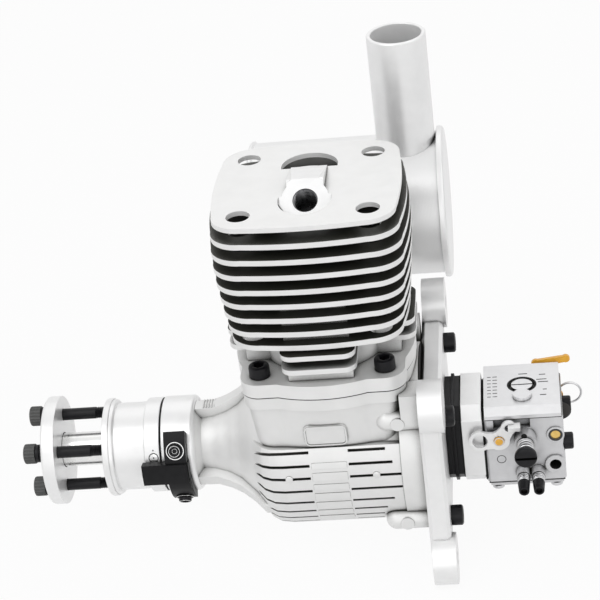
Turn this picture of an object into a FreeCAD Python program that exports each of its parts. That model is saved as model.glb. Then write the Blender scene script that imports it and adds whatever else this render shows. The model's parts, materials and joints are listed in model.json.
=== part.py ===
import FreeCAD, Part
import math
import os

from FreeCAD import Placement, Rotation, Vector

# Single-cylinder two-stroke petrol engine for a large model aircraft, in millimetres.
# It is drawn about the point where the cylinder axis meets the crank axis: +X runs along the
# crank towards the carburettor, +Y towards the silencer, +Z up the cylinder. At the end every
# piece is moved so that the origin lies on the crank axis, in the face that bolts to a firewall.

# Running gear
bore = 40.0
stroke = 28.0
rod_length = 54.0
compression_height = 19.0
skirt_below_pin = 13.0
piston_fit = 0.05
piston_wall = 2.2
crown_thickness = 4.0
ring_height = 1.2
ring_count = 2
wrist_pin_r = 5.0
wrist_pin_bore_r = 3.0
crankpin_r = 5.5
rod_width = 9.0
big_end_wall = 1.8
small_end_wall = 1.8
needle_thickness = 1.9
web_gap = 0.15
web_width = 11.5
web_r = 25.3
pin_fit = 0.02
circlip_thickness = 0.8
circlip_grip = 0.6

# Shaft and its bearings
rear_journal_r = 10.0
rear_bearing_r = 21.0
rear_bearing_width = 12.0
middle_journal_r = 8.75
front_journal_r = 7.5
front_bearing_r = 16.0
front_bearing_width = 9.0
race_thickness = 2.6
seal_width = 4.0
seal_r = 13.0
fit = 0.02
clearance = 0.3
rear_bearing_offset = 0.5

# Crankcase
case_cavity_r = 30.6
case_wall = 3.0
case_cavity_front = -19.0
case_cavity_rear = 31.0
case_rear = 37.0
case_deck = 39.5
case_shoulder_x = -20.0
case_nose_front = -72.2
case_nose_r = 17.8
case_neck_r = 14.4
rib_height = 2.4
rib_front = -33.0
rib_top_z = 14.6
groove_width = 1.2
groove_angles = [-21.3, -12.2, -3.3, 6.7, 17.0, 27.0, 36.5, 47.0]
groove_ends = [22.4, 25.0, 28.2, 28.2, 24.3, 20.8, 19.0, 18.3]
plain_strip = (-8.8, 7.2)
case_flange_front = 28.5
case_flange_height = 0.8
case_waist_half = 31.0
case_waist_z = 6.0
deck_lip = 5.3
deck_lip_step = 0.8
nameplate_x = (-9.6, 7.9)
nameplate_z = (15.8, 26.2)
nameplate_y = -33.9
nameplate_tilt = 8.5
rear_web_front = 30.0
rear_web_top = 37.0
snout_rib_width = 7.0
snout_rib_angles = [-90.0, 30.0, 150.0]
gasket_thickness = 0.5

# Cylinder
bolt_spacing = 50.6
base_flange_thickness = 6.0
base_thread_depth = 11.5
base_corner_r = 8.0
base_bulge = 3.5
base_bulge_half = 18.0
liner_spigot_bottom = 31.0
liner_wall = 2.6
duct_depth = 1.9
duct_wall = 1.0
squish_gap = 0.8
dome_height = 15.0
dome_r = 14.0
dome_roof_r = 6.3
head_top = 117.8
top_plate_half = 37.5
top_plate_thickness = 2.0
fin_half_widths = [39.0, 39.5, 39.5, 39.2, 38.6, 38.0, 37.2, 36.3]
fin_pitch = 6.65
fin_thickness = 2.3
fin_bulge = 2.0
fin_corner_r = 12.5
access_hole_r = 4.75
tongue_half = 15.0
tongue_reach = 38.0
tongue_thickness = 2.2
tongue_heights = [58.6, 52.4]
bulge_half = 13.0
bulge_reach = 31.5
port_half = 9.0
port_height = 7.0
transfer_top = 70.0
exhaust_half = 11.5
exhaust_bottom = 59.5
exhaust_top = 70.5
exhaust_face_y = 38.0
exhaust_boss_half = 23.0
exhaust_boss_bottom = 53.0
exhaust_boss_top = 77.0
plug_tilt = 40.0
plug_thread_r = 5.0
plug_seat_r = 9.5
plug_seat_y = -12.2
plug_seat_z = 116.4
plug_thread_length = 12.7
plug_relief_r = 6.2
plug_neck_half = 7.3
half_moon_r = 11.5
half_moon_y = 16.5

# Screws: M5 and M4 socket heads
m5_r = 2.5
m5_head_r = 4.25
m5_head = 5.0
m4_r = 2.0
m4_head_r = 3.5
m4_head = 4.0
thread_gap = 0.05
hole_gap = 0.2
thread_room = 0.5

# Rear mount plate
plate_front = 37.5
plate_rear = 46.3
mount_face = 48.0
lug_front = 38.2
lug_y = 41.7
lug_z = 36.85
lug_r = 10.7
lug_hole_r = 3.1
plate_side = 43.5
plate_waist_z = 30.0
plate_bevel = 1.4
plate_screw_y = 29.3
plate_screw_z = 24.1
plate_thread_depth = 8.5
boss_r = 4.5
boss_front = 24.0
boss_pad_r = 2.8
boss_pad_x = 28.4
boss_pad_height = 0.3
window_half_y = 16.5
window_half_z = 10.0

# Reed valve and intake
intake_z = 5.2
reed_flange = 3.0
reed_flange_half_y = 22.0
reed_flange_half_z = 16.5
reed_base_half = 9.5
reed_tip_half = 1.6
reed_tip_x = 13.5
reed_half_y = 15.5
reed_wall = 1.4
petal_thickness = 0.35
petal_gap = 0.05
stop_thickness = 0.9
stop_angle = 11.0
insulator_rear = 52.5
insulator_half_y = 16.8
insulator_z = (-17.0, 17.8)
insulator_bevel = 4.6
insulator_ridge = (49.0, 50.4)
insulator_ridge_height = 0.8
spacer_rear = 61.5
spacer_half_y = 17.4
spacer_z = (-18.3, 18.6)
spacer_bevel = 5.0
intake_bore_r = 7.4

# Carburettor
carb_rear = 94.5
carb_half_y = 17.6
carb_z = (-16.6, 13.2)
carb_corner_r = 1.6
throttle_bore_r = 7.0
venturi_r = 5.5
venturi_x = (74.0, 80.0)
venturi_slope = 2.5
inlet_r = 7.2
throttle_x = 68.0
choke_x = 91.0
plate_fit = 0.15
spindle_r = 2.0
spindle_fit = 0.05
spindle_stand = 0.8
butterfly_thickness = 0.8
idle_opening = 8.0
cover_gasket = 0.6
top_cover_height = 4.4
top_cover_bevel = 3.0
top_cover_edge = 1.6
cover_inset = 0.6
cover_overhang = 0.4
bottom_cover_height = 2.8
pump_screw_x = 78.4
pump_screw_y = 1.2
pump_screw_r = 1.5
pump_head_r = 4.4
pump_head = 1.5
pump_recess_gap = 1.0
pump_recess_depth = 1.4
pump_thread_depth = 1.2
cover_stud_y = -8.4
cover_stud_r = 3.7
cover_stud_height = 1.6
cover_screw_r = 1.4
cover_screw_gap = 0.1
cover_screw_inset = 4.2
cover_thread_depth = 3.0
side_pocket_x = (4.0, 19.0)
side_pocket_z = 9.2
side_pocket_depth = 2.2
carb_bolt_y = 14.2
carb_bolt_z = -0.5
spot_face = 0.3
lever_thickness = 1.4
lever_gap = 0.5
spindle_boss_r = 3.6
spindle_boss_height = 1.2
choke_end_height = 0.8
throttle_eye = (60.2, 5.3)
throttle_eye_r = 4.6
throttle_eye_hole_r = 3.1
throttle_link = (72.2, 11.0)
throttle_link_r = 3.2
throttle_link_hole_r = 1.6
throttle_hub_r = 4.4
stop_tab_x = (72.0, 77.0)
stop_tab_z = (11.2, 12.8)
stop_tab_reach = 3.0
choke_handle = [(84.6, 16.8), (97.2, 18.4)]
choke_handle_r = [3.4, 1.9, 1.7]
choke_arm_r = [3.0, 2.0]
idle_screw_x = 78.6
idle_screw_z = 4.8
idle_boss_r = 4.4
idle_boss_height = 6.0
idle_head_r = 4.6
idle_head = 3.6
idle_head_stand = 11.0
idle_tip_depth = 2.6
idle_cone = 2.0
idle_spring_r = 3.6
needle_xs = {"low": 76.9, "high": 83.0}
needle_z = -12.2
needle_r = 1.6
needle_boss_r = 3.0
needle_boss_height = 4.5
needle_head_r = 2.5
needle_head = 6.0
needle_head_stand = 10.5
needle_depth = 7.0
needle_cone = 3.0
needle_spring_r = 2.7
fuel_port_x = 90.3
fuel_port_z = -9.0
fuel_port_r = 2.4
fuel_port_depth = 8.0
fuel_boss_r = 4.2
fuel_boss_height = 1.0
spring_wire = 0.9
spring_room = 0.2
throttle_spring_r = 3.6
throttle_spring_length = 3.8
throttle_spring_cap = 0.8
pan_head_r = 2.5
pan_head = 1.4
pull_ring_r = 4.8
pull_ring_wire = 0.5
pull_hook = 2.4
pull_hole = (93.2, 0.7)

# Drive hub, propeller washer and their bolts
hub_front = -97.3
hub_flange_thickness = 4.4
hub_flange_r = 20.75
hub_body_r = 18.5
hub_ring_front = -79.5
hub_ring_r = 20.0
hub_rear = -73.0
hub_taper_front_r = 6.0
nut_seat_depth = 0.6
key_x = (-90.0, -78.0)
key_width = 3.0
key_bottom = 5.0
key_top = 8.6
washer_rear = -117.2
washer_thickness = 5.8
washer_r = 23.0
spigot_r = 7.2
spigot_front = -119.6
spigot_thread_r = 5.0
prop_bolt_circle = 30.0
prop_bolt_count = 4
prop_bolt_phase = 28.6
prop_bolt_end = -84.0
lock_washer = 3.3
magnet_r = 2.0
magnet_depth = 3.0
magnet_x = -75.6
magnet_angle = -16.0

# Ignition sensor
sensor_ring_r = 20.2
sensor_ring_rear = -58.4
sensor_thickness = 4.4
sensor_step = 1.4
sensor_screw_r = 1.5
sensor_front = -70.5
sensor_rear = -60.5
sensor_finger_front = -80.3
sensor_finger_gap = 0.8
sensor_angles = (-44.0, 52.0)
finger_angles = (-12.0, 17.0)

# Silencer
can_r = 31.0
can_wall = 1.2
can_rim_height = 0.9
can_rim_width = 2.6
can_front = -34.0
can_rear = 49.5
can_head_gap = 1.5
can_z = 66.0
cap_r = 33.0
cap_front = 48.2
cap_rear = 51.0
cap_gap = 0.1
cap_bevel = 1.2
tube_x = 35.2
tube_r = 12.6
tube_bore_r = 10.8
tube_top = 146.0
tube_depth_in_can = 6.0
exhaust_flange_thickness = 4.0
exhaust_screw_x = 18.0
exhaust_thread_depth = 7.5
exhaust_flange_half_z = 10.5
duct_side_wall = 1.5

# Derived places
crank_r = stroke / 2
bolt_half = bolt_spacing / 2
pin_top = rod_length + crank_r
crown_top = pin_top + compression_height
squish_z = crown_top + squish_gap
cylinder_base = case_deck + gasket_thickness
flange_top = cylinder_base + base_flange_thickness
pin_half = bore / 2 - 3.6
barrel_r = bore / 2 + liner_wall + duct_depth + duct_wall
case_outer_r = case_cavity_r + case_wall
rib_r = case_outer_r + rib_height
web_rear = -rod_width / 2 - web_gap
web_front = web_rear - web_width
rear_bearing_rear = case_cavity_front - rear_bearing_offset
rear_bearing_front = rear_bearing_rear - rear_bearing_width
seal_front = case_nose_front + 0.4
front_bearing_front = seal_front + seal_width + 0.2
front_bearing_rear = front_bearing_front + front_bearing_width
carb_front = spacer_rear + gasket_thickness
carb_bolt_seat = carb_rear - spot_face
nut_seat = hub_front + nut_seat_depth
sensor_body_r = sensor_ring_r + sensor_thickness
sensor_screw_x = (sensor_front + sensor_rear) / 2
exhaust_seat = exhaust_face_y + gasket_thickness + exhaust_flange_thickness
can_y = exhaust_seat + m5_head + can_head_gap + can_r
X = Vector(1, 0, 0)
Y = Vector(0, 1, 0)
Z = Vector(0, 0, 1)
ORIGIN = Vector(0, 0, 0)
SIGNS = [(-1, -1), (1, -1), (1, 1), (-1, 1)]

os.makedirs("parts", exist_ok=True)


def save(name, *solids):
    """Write one node, moved so that the origin lies on the mounting face."""
    shape = solids[0] if len(solids) == 1 else Part.makeCompound(list(solids))
    shape = shape.copy()
    shape.translate(Vector(-mount_face, 0, 0))
    shape.exportStep("parts/" + name + ".step")


def block(x, y, z):
    """A box from three (low, high) pairs."""
    return Part.makeBox(x[1] - x[0], y[1] - y[0], z[1] - z[0], Vector(x[0], y[0], z[0]))


def rod_x(radius, x0, x1, y=0.0, z=0.0):
    """A cylinder along X between two stations."""
    return Part.makeCylinder(radius, x1 - x0, Vector(x0, y, z), X)


def rod_y(radius, y0, y1, x=0.0, z=0.0):
    """A cylinder along Y between two stations."""
    return Part.makeCylinder(radius, y1 - y0, Vector(x, y0, z), Y)


def rod_z(radius, z0, z1, x=0.0, y=0.0):
    """A cylinder along Z between two heights."""
    return Part.makeCylinder(radius, z1 - z0, Vector(x, y, z0), Z)


def fuse(first, *others):
    """One solid from several that touch."""
    return first.fuse(list(others)).removeSplitter()


def turned_x(points):
    """A turned piece about the crank axis, from (x, radius) points."""
    corners = [Vector(x, 0, r) for x, r in points]
    return Part.Face(Part.makePolygon(corners + corners[:1])).revolve(ORIGIN, X, 360)


def extruded(wire, travel):
    """A prism of a closed wire."""
    return Part.Face(wire).extrude(travel)


def polygon(points):
    """A closed wire through the given points."""
    corners = [Vector(*p) for p in points]
    return Part.makePolygon(corners + corners[:1])


def at_angle(shape, angle):
    """Turn a shape about the crank axis: 0 faces -Y and positive angles go down."""
    turned = shape.copy()
    turned.rotate(ORIGIN, X, angle)
    return turned


def radial_slab(angle, thickness, x0, x1, reach):
    """A thin slab that stands out from the crank axis at the given angle."""
    slab = block((x0, x1), (-reach, 0), (-thickness / 2, thickness / 2))
    return at_angle(slab, angle)


def bulged_outline(half, bulge, corner_r, z):
    """A square with round corners and four gently bulged sides."""
    flat = half - bulge
    a = flat - corner_r
    c = a + corner_r * math.sqrt(0.5)
    edges = []
    for turn in range(4):
        quarter = Rotation(Z, 90 * turn)
        side = [Vector(-a, -flat, z), Vector(0, -half, z), Vector(a, -flat, z)]
        corner = [Vector(a, -flat, z), Vector(c, -c, z), Vector(flat, -a, z)]
        for points in (side, corner):
            edges.append(Part.Arc(*[quarter.multVec(p) for p in points]).toShape())
    return Part.Wire(edges)


def base_outline(z, shrink=0.0):
    """The joint face of cylinder and case: lobes round the bolts and bulged sides."""
    reach = bolt_half + base_corner_r - shrink
    corner_r = base_corner_r - shrink
    half = base_bulge_half
    mid = bolt_half + corner_r * math.sqrt(0.5)
    edges = []
    for turn in range(4):
        quarter = Rotation(Z, 90 * turn)
        side = [Vector(-half, -reach, z), Vector(0, -reach - base_bulge, z), Vector(half, -reach, z)]
        corner = [Vector(bolt_half, -reach, z), Vector(mid, -mid, z), Vector(reach, -bolt_half, z)]
        run_in = [Vector(half, -reach, z), Vector(bolt_half, -reach, z)]
        run_out = [Vector(reach, -bolt_half, z), Vector(reach, -half, z)]
        edges.append(Part.Arc(*[quarter.multVec(p) for p in side]).toShape())
        edges.append(Part.LineSegment(*[quarter.multVec(p) for p in run_in]).toShape())
        edges.append(Part.Arc(*[quarter.multVec(p) for p in corner]).toShape())
        edges.append(Part.LineSegment(*[quarter.multVec(p) for p in run_out]).toShape())
    return Part.Wire(edges)


def socket_screw(radius, head_r, head, length):
    """A socket-head screw along +Z: the head stands on z = 0 and the shank goes below."""
    body = Part.makeCylinder(head_r, head).fuse(Part.makeCylinder(radius, length, Vector(0, 0, -length)))
    hexagon = [
        Vector(head_r * 0.5 * math.cos(math.radians(a)), head_r * 0.5 * math.sin(math.radians(a)), head)
        for a in range(0, 360, 60)
    ]
    socket = Part.Face(Part.makePolygon(hexagon + hexagon[:1])).extrude(Vector(0, 0, -head * 0.6))
    return body.cut(socket).removeSplitter()


def placed(shape, position, direction):
    """A copy of a +Z shape, turned to a direction and set at a place."""
    moved = shape.copy()
    moved.Placement = Placement(position, Rotation(Z, direction)).multiply(moved.Placement)
    return moved


# Crankcase: turned drum and snout, squared top under the cylinder, bosses and cooling ribs
drum_profile = [
    (case_nose_front, 0), (case_nose_front, case_nose_r), (sensor_ring_rear, case_nose_r),
    (sensor_ring_rear + 2.4, case_neck_r), (-51.0, case_neck_r + 0.6), (-45.0, case_neck_r + 2.6),
    (-40.0, case_neck_r + 5.6), (-36.0, case_neck_r + 9.6), (-32.0, case_neck_r + 13.6),
    (-28.5, case_outer_r - 2.6), (-25.0, case_outer_r - 0.7), (case_shoulder_x, case_outer_r),
    (case_rear, case_outer_r), (case_rear, 0),
]
rib_profile = [
    (rib_front, 0), (rib_front, 26.5), (-31.5, 29.2), (-28.5, 33.2), (-25.0, rib_r - 0.7),
    (case_shoulder_x, rib_r), (case_rear, rib_r), (case_rear, 0),
]
snout_rib_profile = [
    (sensor_ring_rear, 0), (sensor_ring_rear, 18.8), (-50.5, 19.0), (-45.0, 21.0), (-40.0, 23.8),
    (-35.0, 28.0), (-30.0, 33.4), (-26.0, 33.4), (-26.0, 0),
]


def rib_shell():
    """The raised lower half of the drum, with grooves that leave the cooling ribs."""
    shell = turned_x(rib_profile)
    shell = shell.common(block((rib_front - 1, case_rear), (-rib_r - 1, rib_r + 1), (-rib_r - 1, rib_top_z)))
    grooves = []
    for angle, right in zip(groove_angles, groove_ends):
        for turn in (angle, 180 - angle):
            grooves.append(radial_slab(turn, groove_width, rib_front - 1, plain_strip[0], rib_r + 1))
            grooves.append(radial_slab(turn, groove_width, plain_strip[1], right, rib_r + 1))
    return shell.cut(grooves)


def nameplate():
    """The blank raised pad on the near side of the case."""
    depth = 3.0
    half_z = (nameplate_z[1] - nameplate_z[0]) / 2
    pad = block(nameplate_x, (0, depth), (-half_z, half_z))
    pad = pad.makeFillet(2.5, [e for e in pad.Edges if e.BoundBox.YLength > depth / 2])
    pad.rotate(ORIGIN, X, nameplate_tilt)
    pad.translate(Vector(0, nameplate_y, (nameplate_z[0] + nameplate_z[1]) / 2))
    return pad


def plate_boss(side_y, side_z):
    """A boss for one screw of the rear plate, with the small round pad on its side."""
    y = side_y * plate_screw_y
    z = side_z * plate_screw_z
    reach = plate_screw_y + boss_r + boss_pad_height
    pieces = [
        rod_x(boss_r, boss_front, case_rear, y, z),
        Part.makeSphere(boss_r, Vector(boss_front, y, z)),
        rod_y(boss_pad_r, *sorted([y, side_y * reach]), boss_pad_x, z),
        block((boss_front, case_rear), sorted([side_y * 20.0, y]), sorted([z - side_z * boss_r, z])),
    ]
    if side_z > 0:
        outer = side_y * (plate_screw_y + boss_r)
        pieces.append(block((rear_web_front, case_rear), sorted([side_y * 22.0, outer]), (z, rear_web_top)))
    return pieces


def crankcase():
    """The cast case with its snout, ribs, bosses, bearing seats and bolt holes."""
    lip = extruded(base_outline(case_deck - deck_lip, 0.4), Vector(0, 0, deck_lip))
    waist = bulged_outline(case_waist_half, 1.5, 9.0, case_waist_z)
    deck = Part.makeLoft([base_outline(case_deck - deck_lip / 2, deck_lip_step + 0.4), waist], True, True)
    body = turned_x(drum_profile).fuse([deck, lip])
    pieces = [rib_shell(), nameplate()]
    snout = turned_x(snout_rib_profile)
    for angle in snout_rib_angles:
        slab = radial_slab(angle, snout_rib_width, sensor_ring_rear, -26.0, 34.0)
        pieces.append(snout.common(slab))
    pieces.append(rod_x(rib_r + case_flange_height, case_flange_front, case_rear))
    for side_y, side_z in SIGNS:
        pieces += plate_boss(side_y, side_z)
    body = body.fuse(pieces)
    body = body.cut(rod_x(case_cavity_r, case_cavity_front, case_cavity_rear))
    cuts = [
        rod_z(bore / 2 + liner_wall + fit, 0, case_deck + 1),
        rod_x(rear_bearing_r, rear_bearing_front, case_cavity_front + 1),
        rod_x(front_bearing_r, front_bearing_front, front_bearing_rear),
        rod_x(seal_r, case_nose_front - 1, front_bearing_front + 1),
        rod_x(middle_journal_r + 2, front_bearing_front, rear_bearing_front + 1),
        block((case_cavity_rear - 2, case_rear + 1), (-window_half_y, window_half_y),
              (intake_z - window_half_z - 1, intake_z + window_half_z + 1)),
        block((case_rear - reed_flange, case_rear + 1),
              (-reed_flange_half_y - fit, reed_flange_half_y + fit),
              (intake_z - reed_flange_half_z - fit, intake_z + reed_flange_half_z + fit)),
    ]
    for turn in range(3):
        slot = block((-port_half, port_half), (-barrel_r + duct_wall, -bore / 2), (20.0, case_deck + 1))
        slot.rotate(ORIGIN, Z, 90 * (turn - 1))
        cuts.append(slot)
    base_hole_end = case_deck - base_thread_depth - thread_room
    plate_hole_end = case_rear - plate_thread_depth - thread_room
    hole_r = m5_r + thread_gap
    for i, j in SIGNS:
        cuts.append(rod_z(hole_r, base_hole_end, case_deck + 1, i * bolt_half, j * bolt_half))
        cuts.append(rod_x(hole_r, plate_hole_end, case_rear + 1, i * plate_screw_y, j * plate_screw_z))
    return body.cut(cuts).removeSplitter()


def cylinder():
    """The one-piece barrel and head: base flange, fins, ports, chamber and plug boss."""
    body = extruded(base_outline(cylinder_base), Vector(0, 0, base_flange_thickness))
    pieces = [
        rod_z(bore / 2 + liner_wall, liner_spigot_bottom, cylinder_base),
        rod_z(barrel_r, cylinder_base, squish_z + 3),
        Part.makeCone(barrel_r, dome_r + 2, head_top - squish_z - 3, Vector(0, 0, squish_z + 3)),
    ]
    bulge_top = exhaust_boss_top + 6
    for turn in range(4):
        bulge = block((-bulge_half, bulge_half), (-bulge_reach, 0), (cylinder_base, bulge_top))
        bulge.rotate(ORIGIN, Z, 90 * turn)
        pieces.append(bulge)
    for height in tongue_heights:
        for turn in range(4):
            levels = (height, height + tongue_thickness)
            tongue = block((-tongue_half, tongue_half), (-tongue_reach, 0), levels)
            uprights = [e for e in tongue.Edges if e.BoundBox.ZLength > 1]
            tongue = tongue.makeFillet(5.0, [e for e in uprights if e.CenterOfMass.y < -tongue_reach / 2])
            tongue.rotate(ORIGIN, Z, 90 * turn)
            pieces.append(tongue)
    top_z = head_top - top_plate_thickness
    top_outline = bulged_outline(top_plate_half, 1.5, 12.0, top_z)
    pieces.append(extruded(top_outline, Vector(0, 0, top_plate_thickness)))
    for index, half in enumerate(fin_half_widths):
        z = top_z - fin_pitch * (index + 1)
        outline = bulged_outline(half, fin_bulge, fin_corner_r, z)
        pieces.append(extruded(outline, Vector(0, 0, fin_thickness)))
    pieces.append(block((-exhaust_boss_half, exhaust_boss_half), (0, exhaust_face_y),
                        (exhaust_boss_bottom, exhaust_boss_top)))
    tilt = Vector(0, -math.sin(math.radians(plug_tilt)), math.cos(math.radians(plug_tilt)))
    seat = Vector(0, plug_seat_y, plug_seat_z)
    deep = seat - tilt * 24.0
    pieces.append(Part.makeCylinder(plug_seat_r, 24.0, deep, tilt))
    neck = [
        (-plug_neck_half, plug_seat_y, head_top - 1), (-plug_neck_half, plug_seat_y + 7.0, head_top + 4.6),
        (-plug_neck_half, half_moon_y - 2, head_top + 0.5), (-plug_neck_half, half_moon_y - 2, head_top - 1),
    ]
    pieces.append(extruded(polygon(neck), Vector(2 * plug_neck_half, 0, 0)))
    body = body.fuse(pieces)
    moon = rod_z(half_moon_r, top_z - fin_pitch * 1.4, head_top + 3, 0, half_moon_y)
    moon = moon.common(block((-20, 20), (half_moon_y - 2, 40), (top_z - 20, head_top + 3)))
    moon = moon.cut(Part.makeCone(barrel_r, dome_r + 2, head_top - squish_z - 3, Vector(0, 0, squish_z + 3)))
    cuts = [
        rod_z(bore / 2, liner_spigot_bottom - 1, squish_z),
        Part.makeCone(dome_r, dome_roof_r, dome_height, Vector(0, 0, squish_z)),
        Part.makeCylinder(plug_thread_r, 2 * plug_thread_length, seat - tilt * plug_thread_length, tilt),
        Part.makeCylinder(plug_relief_r, 7.0, seat - tilt * (plug_thread_length + 7.0), tilt),
        Part.makeCylinder(plug_seat_r + 1.2, 30, seat, tilt),
        block((-exhaust_half, exhaust_half), (0, exhaust_face_y + 1), (exhaust_bottom, exhaust_top)),
        moon,
    ]
    for turn in range(3):
        duct = block((-port_half, port_half), (-barrel_r + duct_wall, -bore / 2 - liner_wall),
                     (liner_spigot_bottom - 1, transfer_top))
        port = block((-port_half, port_half), (-barrel_r + duct_wall, -bore / 2 + 2),
                     (transfer_top - port_height, transfer_top))
        for piece in (duct, port):
            piece.rotate(ORIGIN, Z, 90 * (turn - 1))
            cuts.append(piece)
    for side_x, side_y in SIGNS:
        x = side_x * bolt_half
        y = side_y * bolt_half
        cuts.append(rod_z(m5_r + hole_gap, cylinder_base - 1, flange_top + 1, x, y))
        cuts.append(rod_z(access_hole_r, flange_top, head_top + 1, x, y))
        reach = top_z - fin_pitch * len(fin_half_widths) - 1
        cuts.append(rod_z(base_corner_r - 1.4, flange_top, reach, x, y))
    for side in (-1, 1):
        hole_end = exhaust_face_y - exhaust_thread_depth - thread_room
        cuts.append(rod_y(m5_r + thread_gap, hole_end, exhaust_face_y + 1, side * exhaust_screw_x, can_z))
    return body.cut(cuts).removeSplitter()


def ring_x(outer, inner, x0, x1):
    """A plain ring about the crank axis."""
    return rod_x(outer, x0, x1).cut(rod_x(inner, x0 - 1, x1 + 1))


def ball_bearing_ball(radius):
    """A ball drawn with a few turned faces."""
    steps = [math.radians(a) for a in (-90, -56, -20, 20, 56, 90)]
    return turned_x([(radius * math.sin(a), radius * max(math.cos(a), 0)) for a in steps])


def bearing(outer_r, inner_r, x0, x1):
    """Outer race, inner race and balls of one ball bearing."""
    ball_r = (outer_r - inner_r - 2 * race_thickness) / 2 + 0.9
    pitch = (outer_r + inner_r) / 2
    middle = (x0 + x1) / 2
    outer = ring_x(outer_r, outer_r - race_thickness, x0, x1)
    inner = ring_x(inner_r + race_thickness, inner_r, x0, x1)
    groove = Part.makeTorus(pitch, ball_r + 0.03, Vector(middle, 0, 0), X)
    count = int(2 * math.pi * pitch / (ball_r * 2.9))
    balls = []
    for k in range(count):
        ball = ball_bearing_ball(ball_r)
        ball.translate(Vector(middle, pitch, 0))
        balls.append(at_angle(ball, 360 * k / count))
    return outer.cut(groove), inner.cut(groove), balls


def crankshaft():
    """One-piece cantilever shaft: web with counterweight, journals and tapered nose."""
    shoulder = rod_x(rear_journal_r + 1.5, web_front - 1.2, web_front)
    shaft_shoulder = nut_seat + clearance
    journals = turned_x([
        (spigot_front + 2, 0), (spigot_front + 2, spigot_thread_r - 0.6),
        (spigot_front + 2.6, spigot_thread_r),
        (shaft_shoulder, spigot_thread_r), (shaft_shoulder, hub_taper_front_r), (hub_rear, front_journal_r),
        (front_bearing_rear, front_journal_r), (front_bearing_rear + 1, middle_journal_r),
        (rear_bearing_front - 1, middle_journal_r), (rear_bearing_front, rear_journal_r),
        (web_front, rear_journal_r), (web_front, 0),
    ])
    web = rod_x(web_r, web_front, web_rear)
    cheek = crankpin_r + 4.0
    for side in (-1, 1):
        cutter = block((web_front - 1, web_rear + 1), sorted([side * cheek * 1.25, side * 40]), (2.5, 40))
        web = web.cut(cutter)
    return fuse(shoulder, journals, web).cut(key(fit))


def piston():
    """Crown, ring lands, skirt and bosses for the wrist pin, at top dead centre."""
    r = bore / 2 - piston_fit
    body = rod_z(r, pin_top - skirt_below_pin, crown_top)
    hollow = rod_z(r - piston_wall, pin_top - skirt_below_pin - 1, crown_top - crown_thickness)
    bosses = fuse(
        rod_x(wrist_pin_r + 3, -r + 0.8, -rod_width / 2 - 0.7, 0, pin_top),
        block((-r + 1.5, -rod_width / 2 - 0.7), (-4, 4), (pin_top, crown_top - 2)),
    )
    mirrored = bosses.mirror(ORIGIN, X)
    limit = rod_z(r - 0.3, pin_top - skirt_below_pin, crown_top - 1)
    body = body.cut(hollow).fuse([bosses.common(limit), mirrored.common(limit)])
    cuts = [rod_x(wrist_pin_r + pin_fit, -r - 1, r + 1, 0, pin_top)]
    for side in (-1, 1):
        x = sorted([side * (pin_half - fit), side * (pin_half + circlip_thickness + fit)])
        cuts.append(rod_x(wrist_pin_r + circlip_grip + fit, x[0], x[1], 0, pin_top))
    for index in range(ring_count):
        top = crown_top - 3.0 - index * 3.2
        groove = rod_z(r + 1, top - ring_height - 0.05, top).cut(rod_z(r - 1.9, top - 3, top + 1))
        cuts.append(groove)
    return body.cut(cuts).removeSplitter()


def piston_rings():
    """Two compression rings with their gaps."""
    rings = []
    for index in range(ring_count):
        top = crown_top - 3.02 - index * 3.2
        ring = rod_z(bore / 2 - 0.02, top - ring_height, top).cut(rod_z(bore / 2 - 1.9, top - 3, top + 1))
        gap = block((-0.3, 0.3), (-bore, 0), (top - 3, top + 1))
        rings.append(ring.cut(gap))
    return rings


def connecting_rod():
    """Forged rod with an I-section shank, hung from the wrist pin at top dead centre."""
    big_r = crankpin_r + needle_thickness + big_end_wall
    small_r = wrist_pin_r + needle_thickness * 0.75 + small_end_wall
    half = rod_width / 2
    base = crank_r
    shank = polygon([
        (-half, -5.6, base + 3), (-half, 5.6, base + 3),
        (-half, 3.8, pin_top - 3), (-half, -3.8, pin_top - 3),
    ])
    body = rod_x(big_r, -half, half, 0, base).fuse([
        rod_x(small_r, -half, half, 0, pin_top), extruded(shank, Vector(rod_width, 0, 0)),
    ])
    cuts = [
        rod_x(crankpin_r + needle_thickness, -half - 1, half + 1, 0, base),
        rod_x(small_r - small_end_wall, -half - 1, half + 1, 0, pin_top),
    ]
    pocket = polygon([
        (0, -3.4, base + big_r + 3), (0, 3.4, base + big_r + 3), (0, 2.2, pin_top - small_r - 3),
        (0, -2.2, pin_top - small_r - 3),
    ])
    for side in (-1, 1):
        cut = extruded(pocket, Vector(side * half, 0, 0))
        cut.translate(Vector(side * (half - 2.2), 0, 0))
        cuts.append(cut)
    return body.cut(cuts).removeSplitter()


def bolt_places(radius, phase):
    """Places round the crank axis: the phase is measured from +Z towards +Y."""
    step = 360 / prop_bolt_count
    angles = [math.radians(phase + step * k) for k in range(prop_bolt_count)]
    return [(radius * math.sin(a), radius * math.cos(a)) for a in angles]


prop_places = bolt_places(prop_bolt_circle / 2, prop_bolt_phase)


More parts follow.
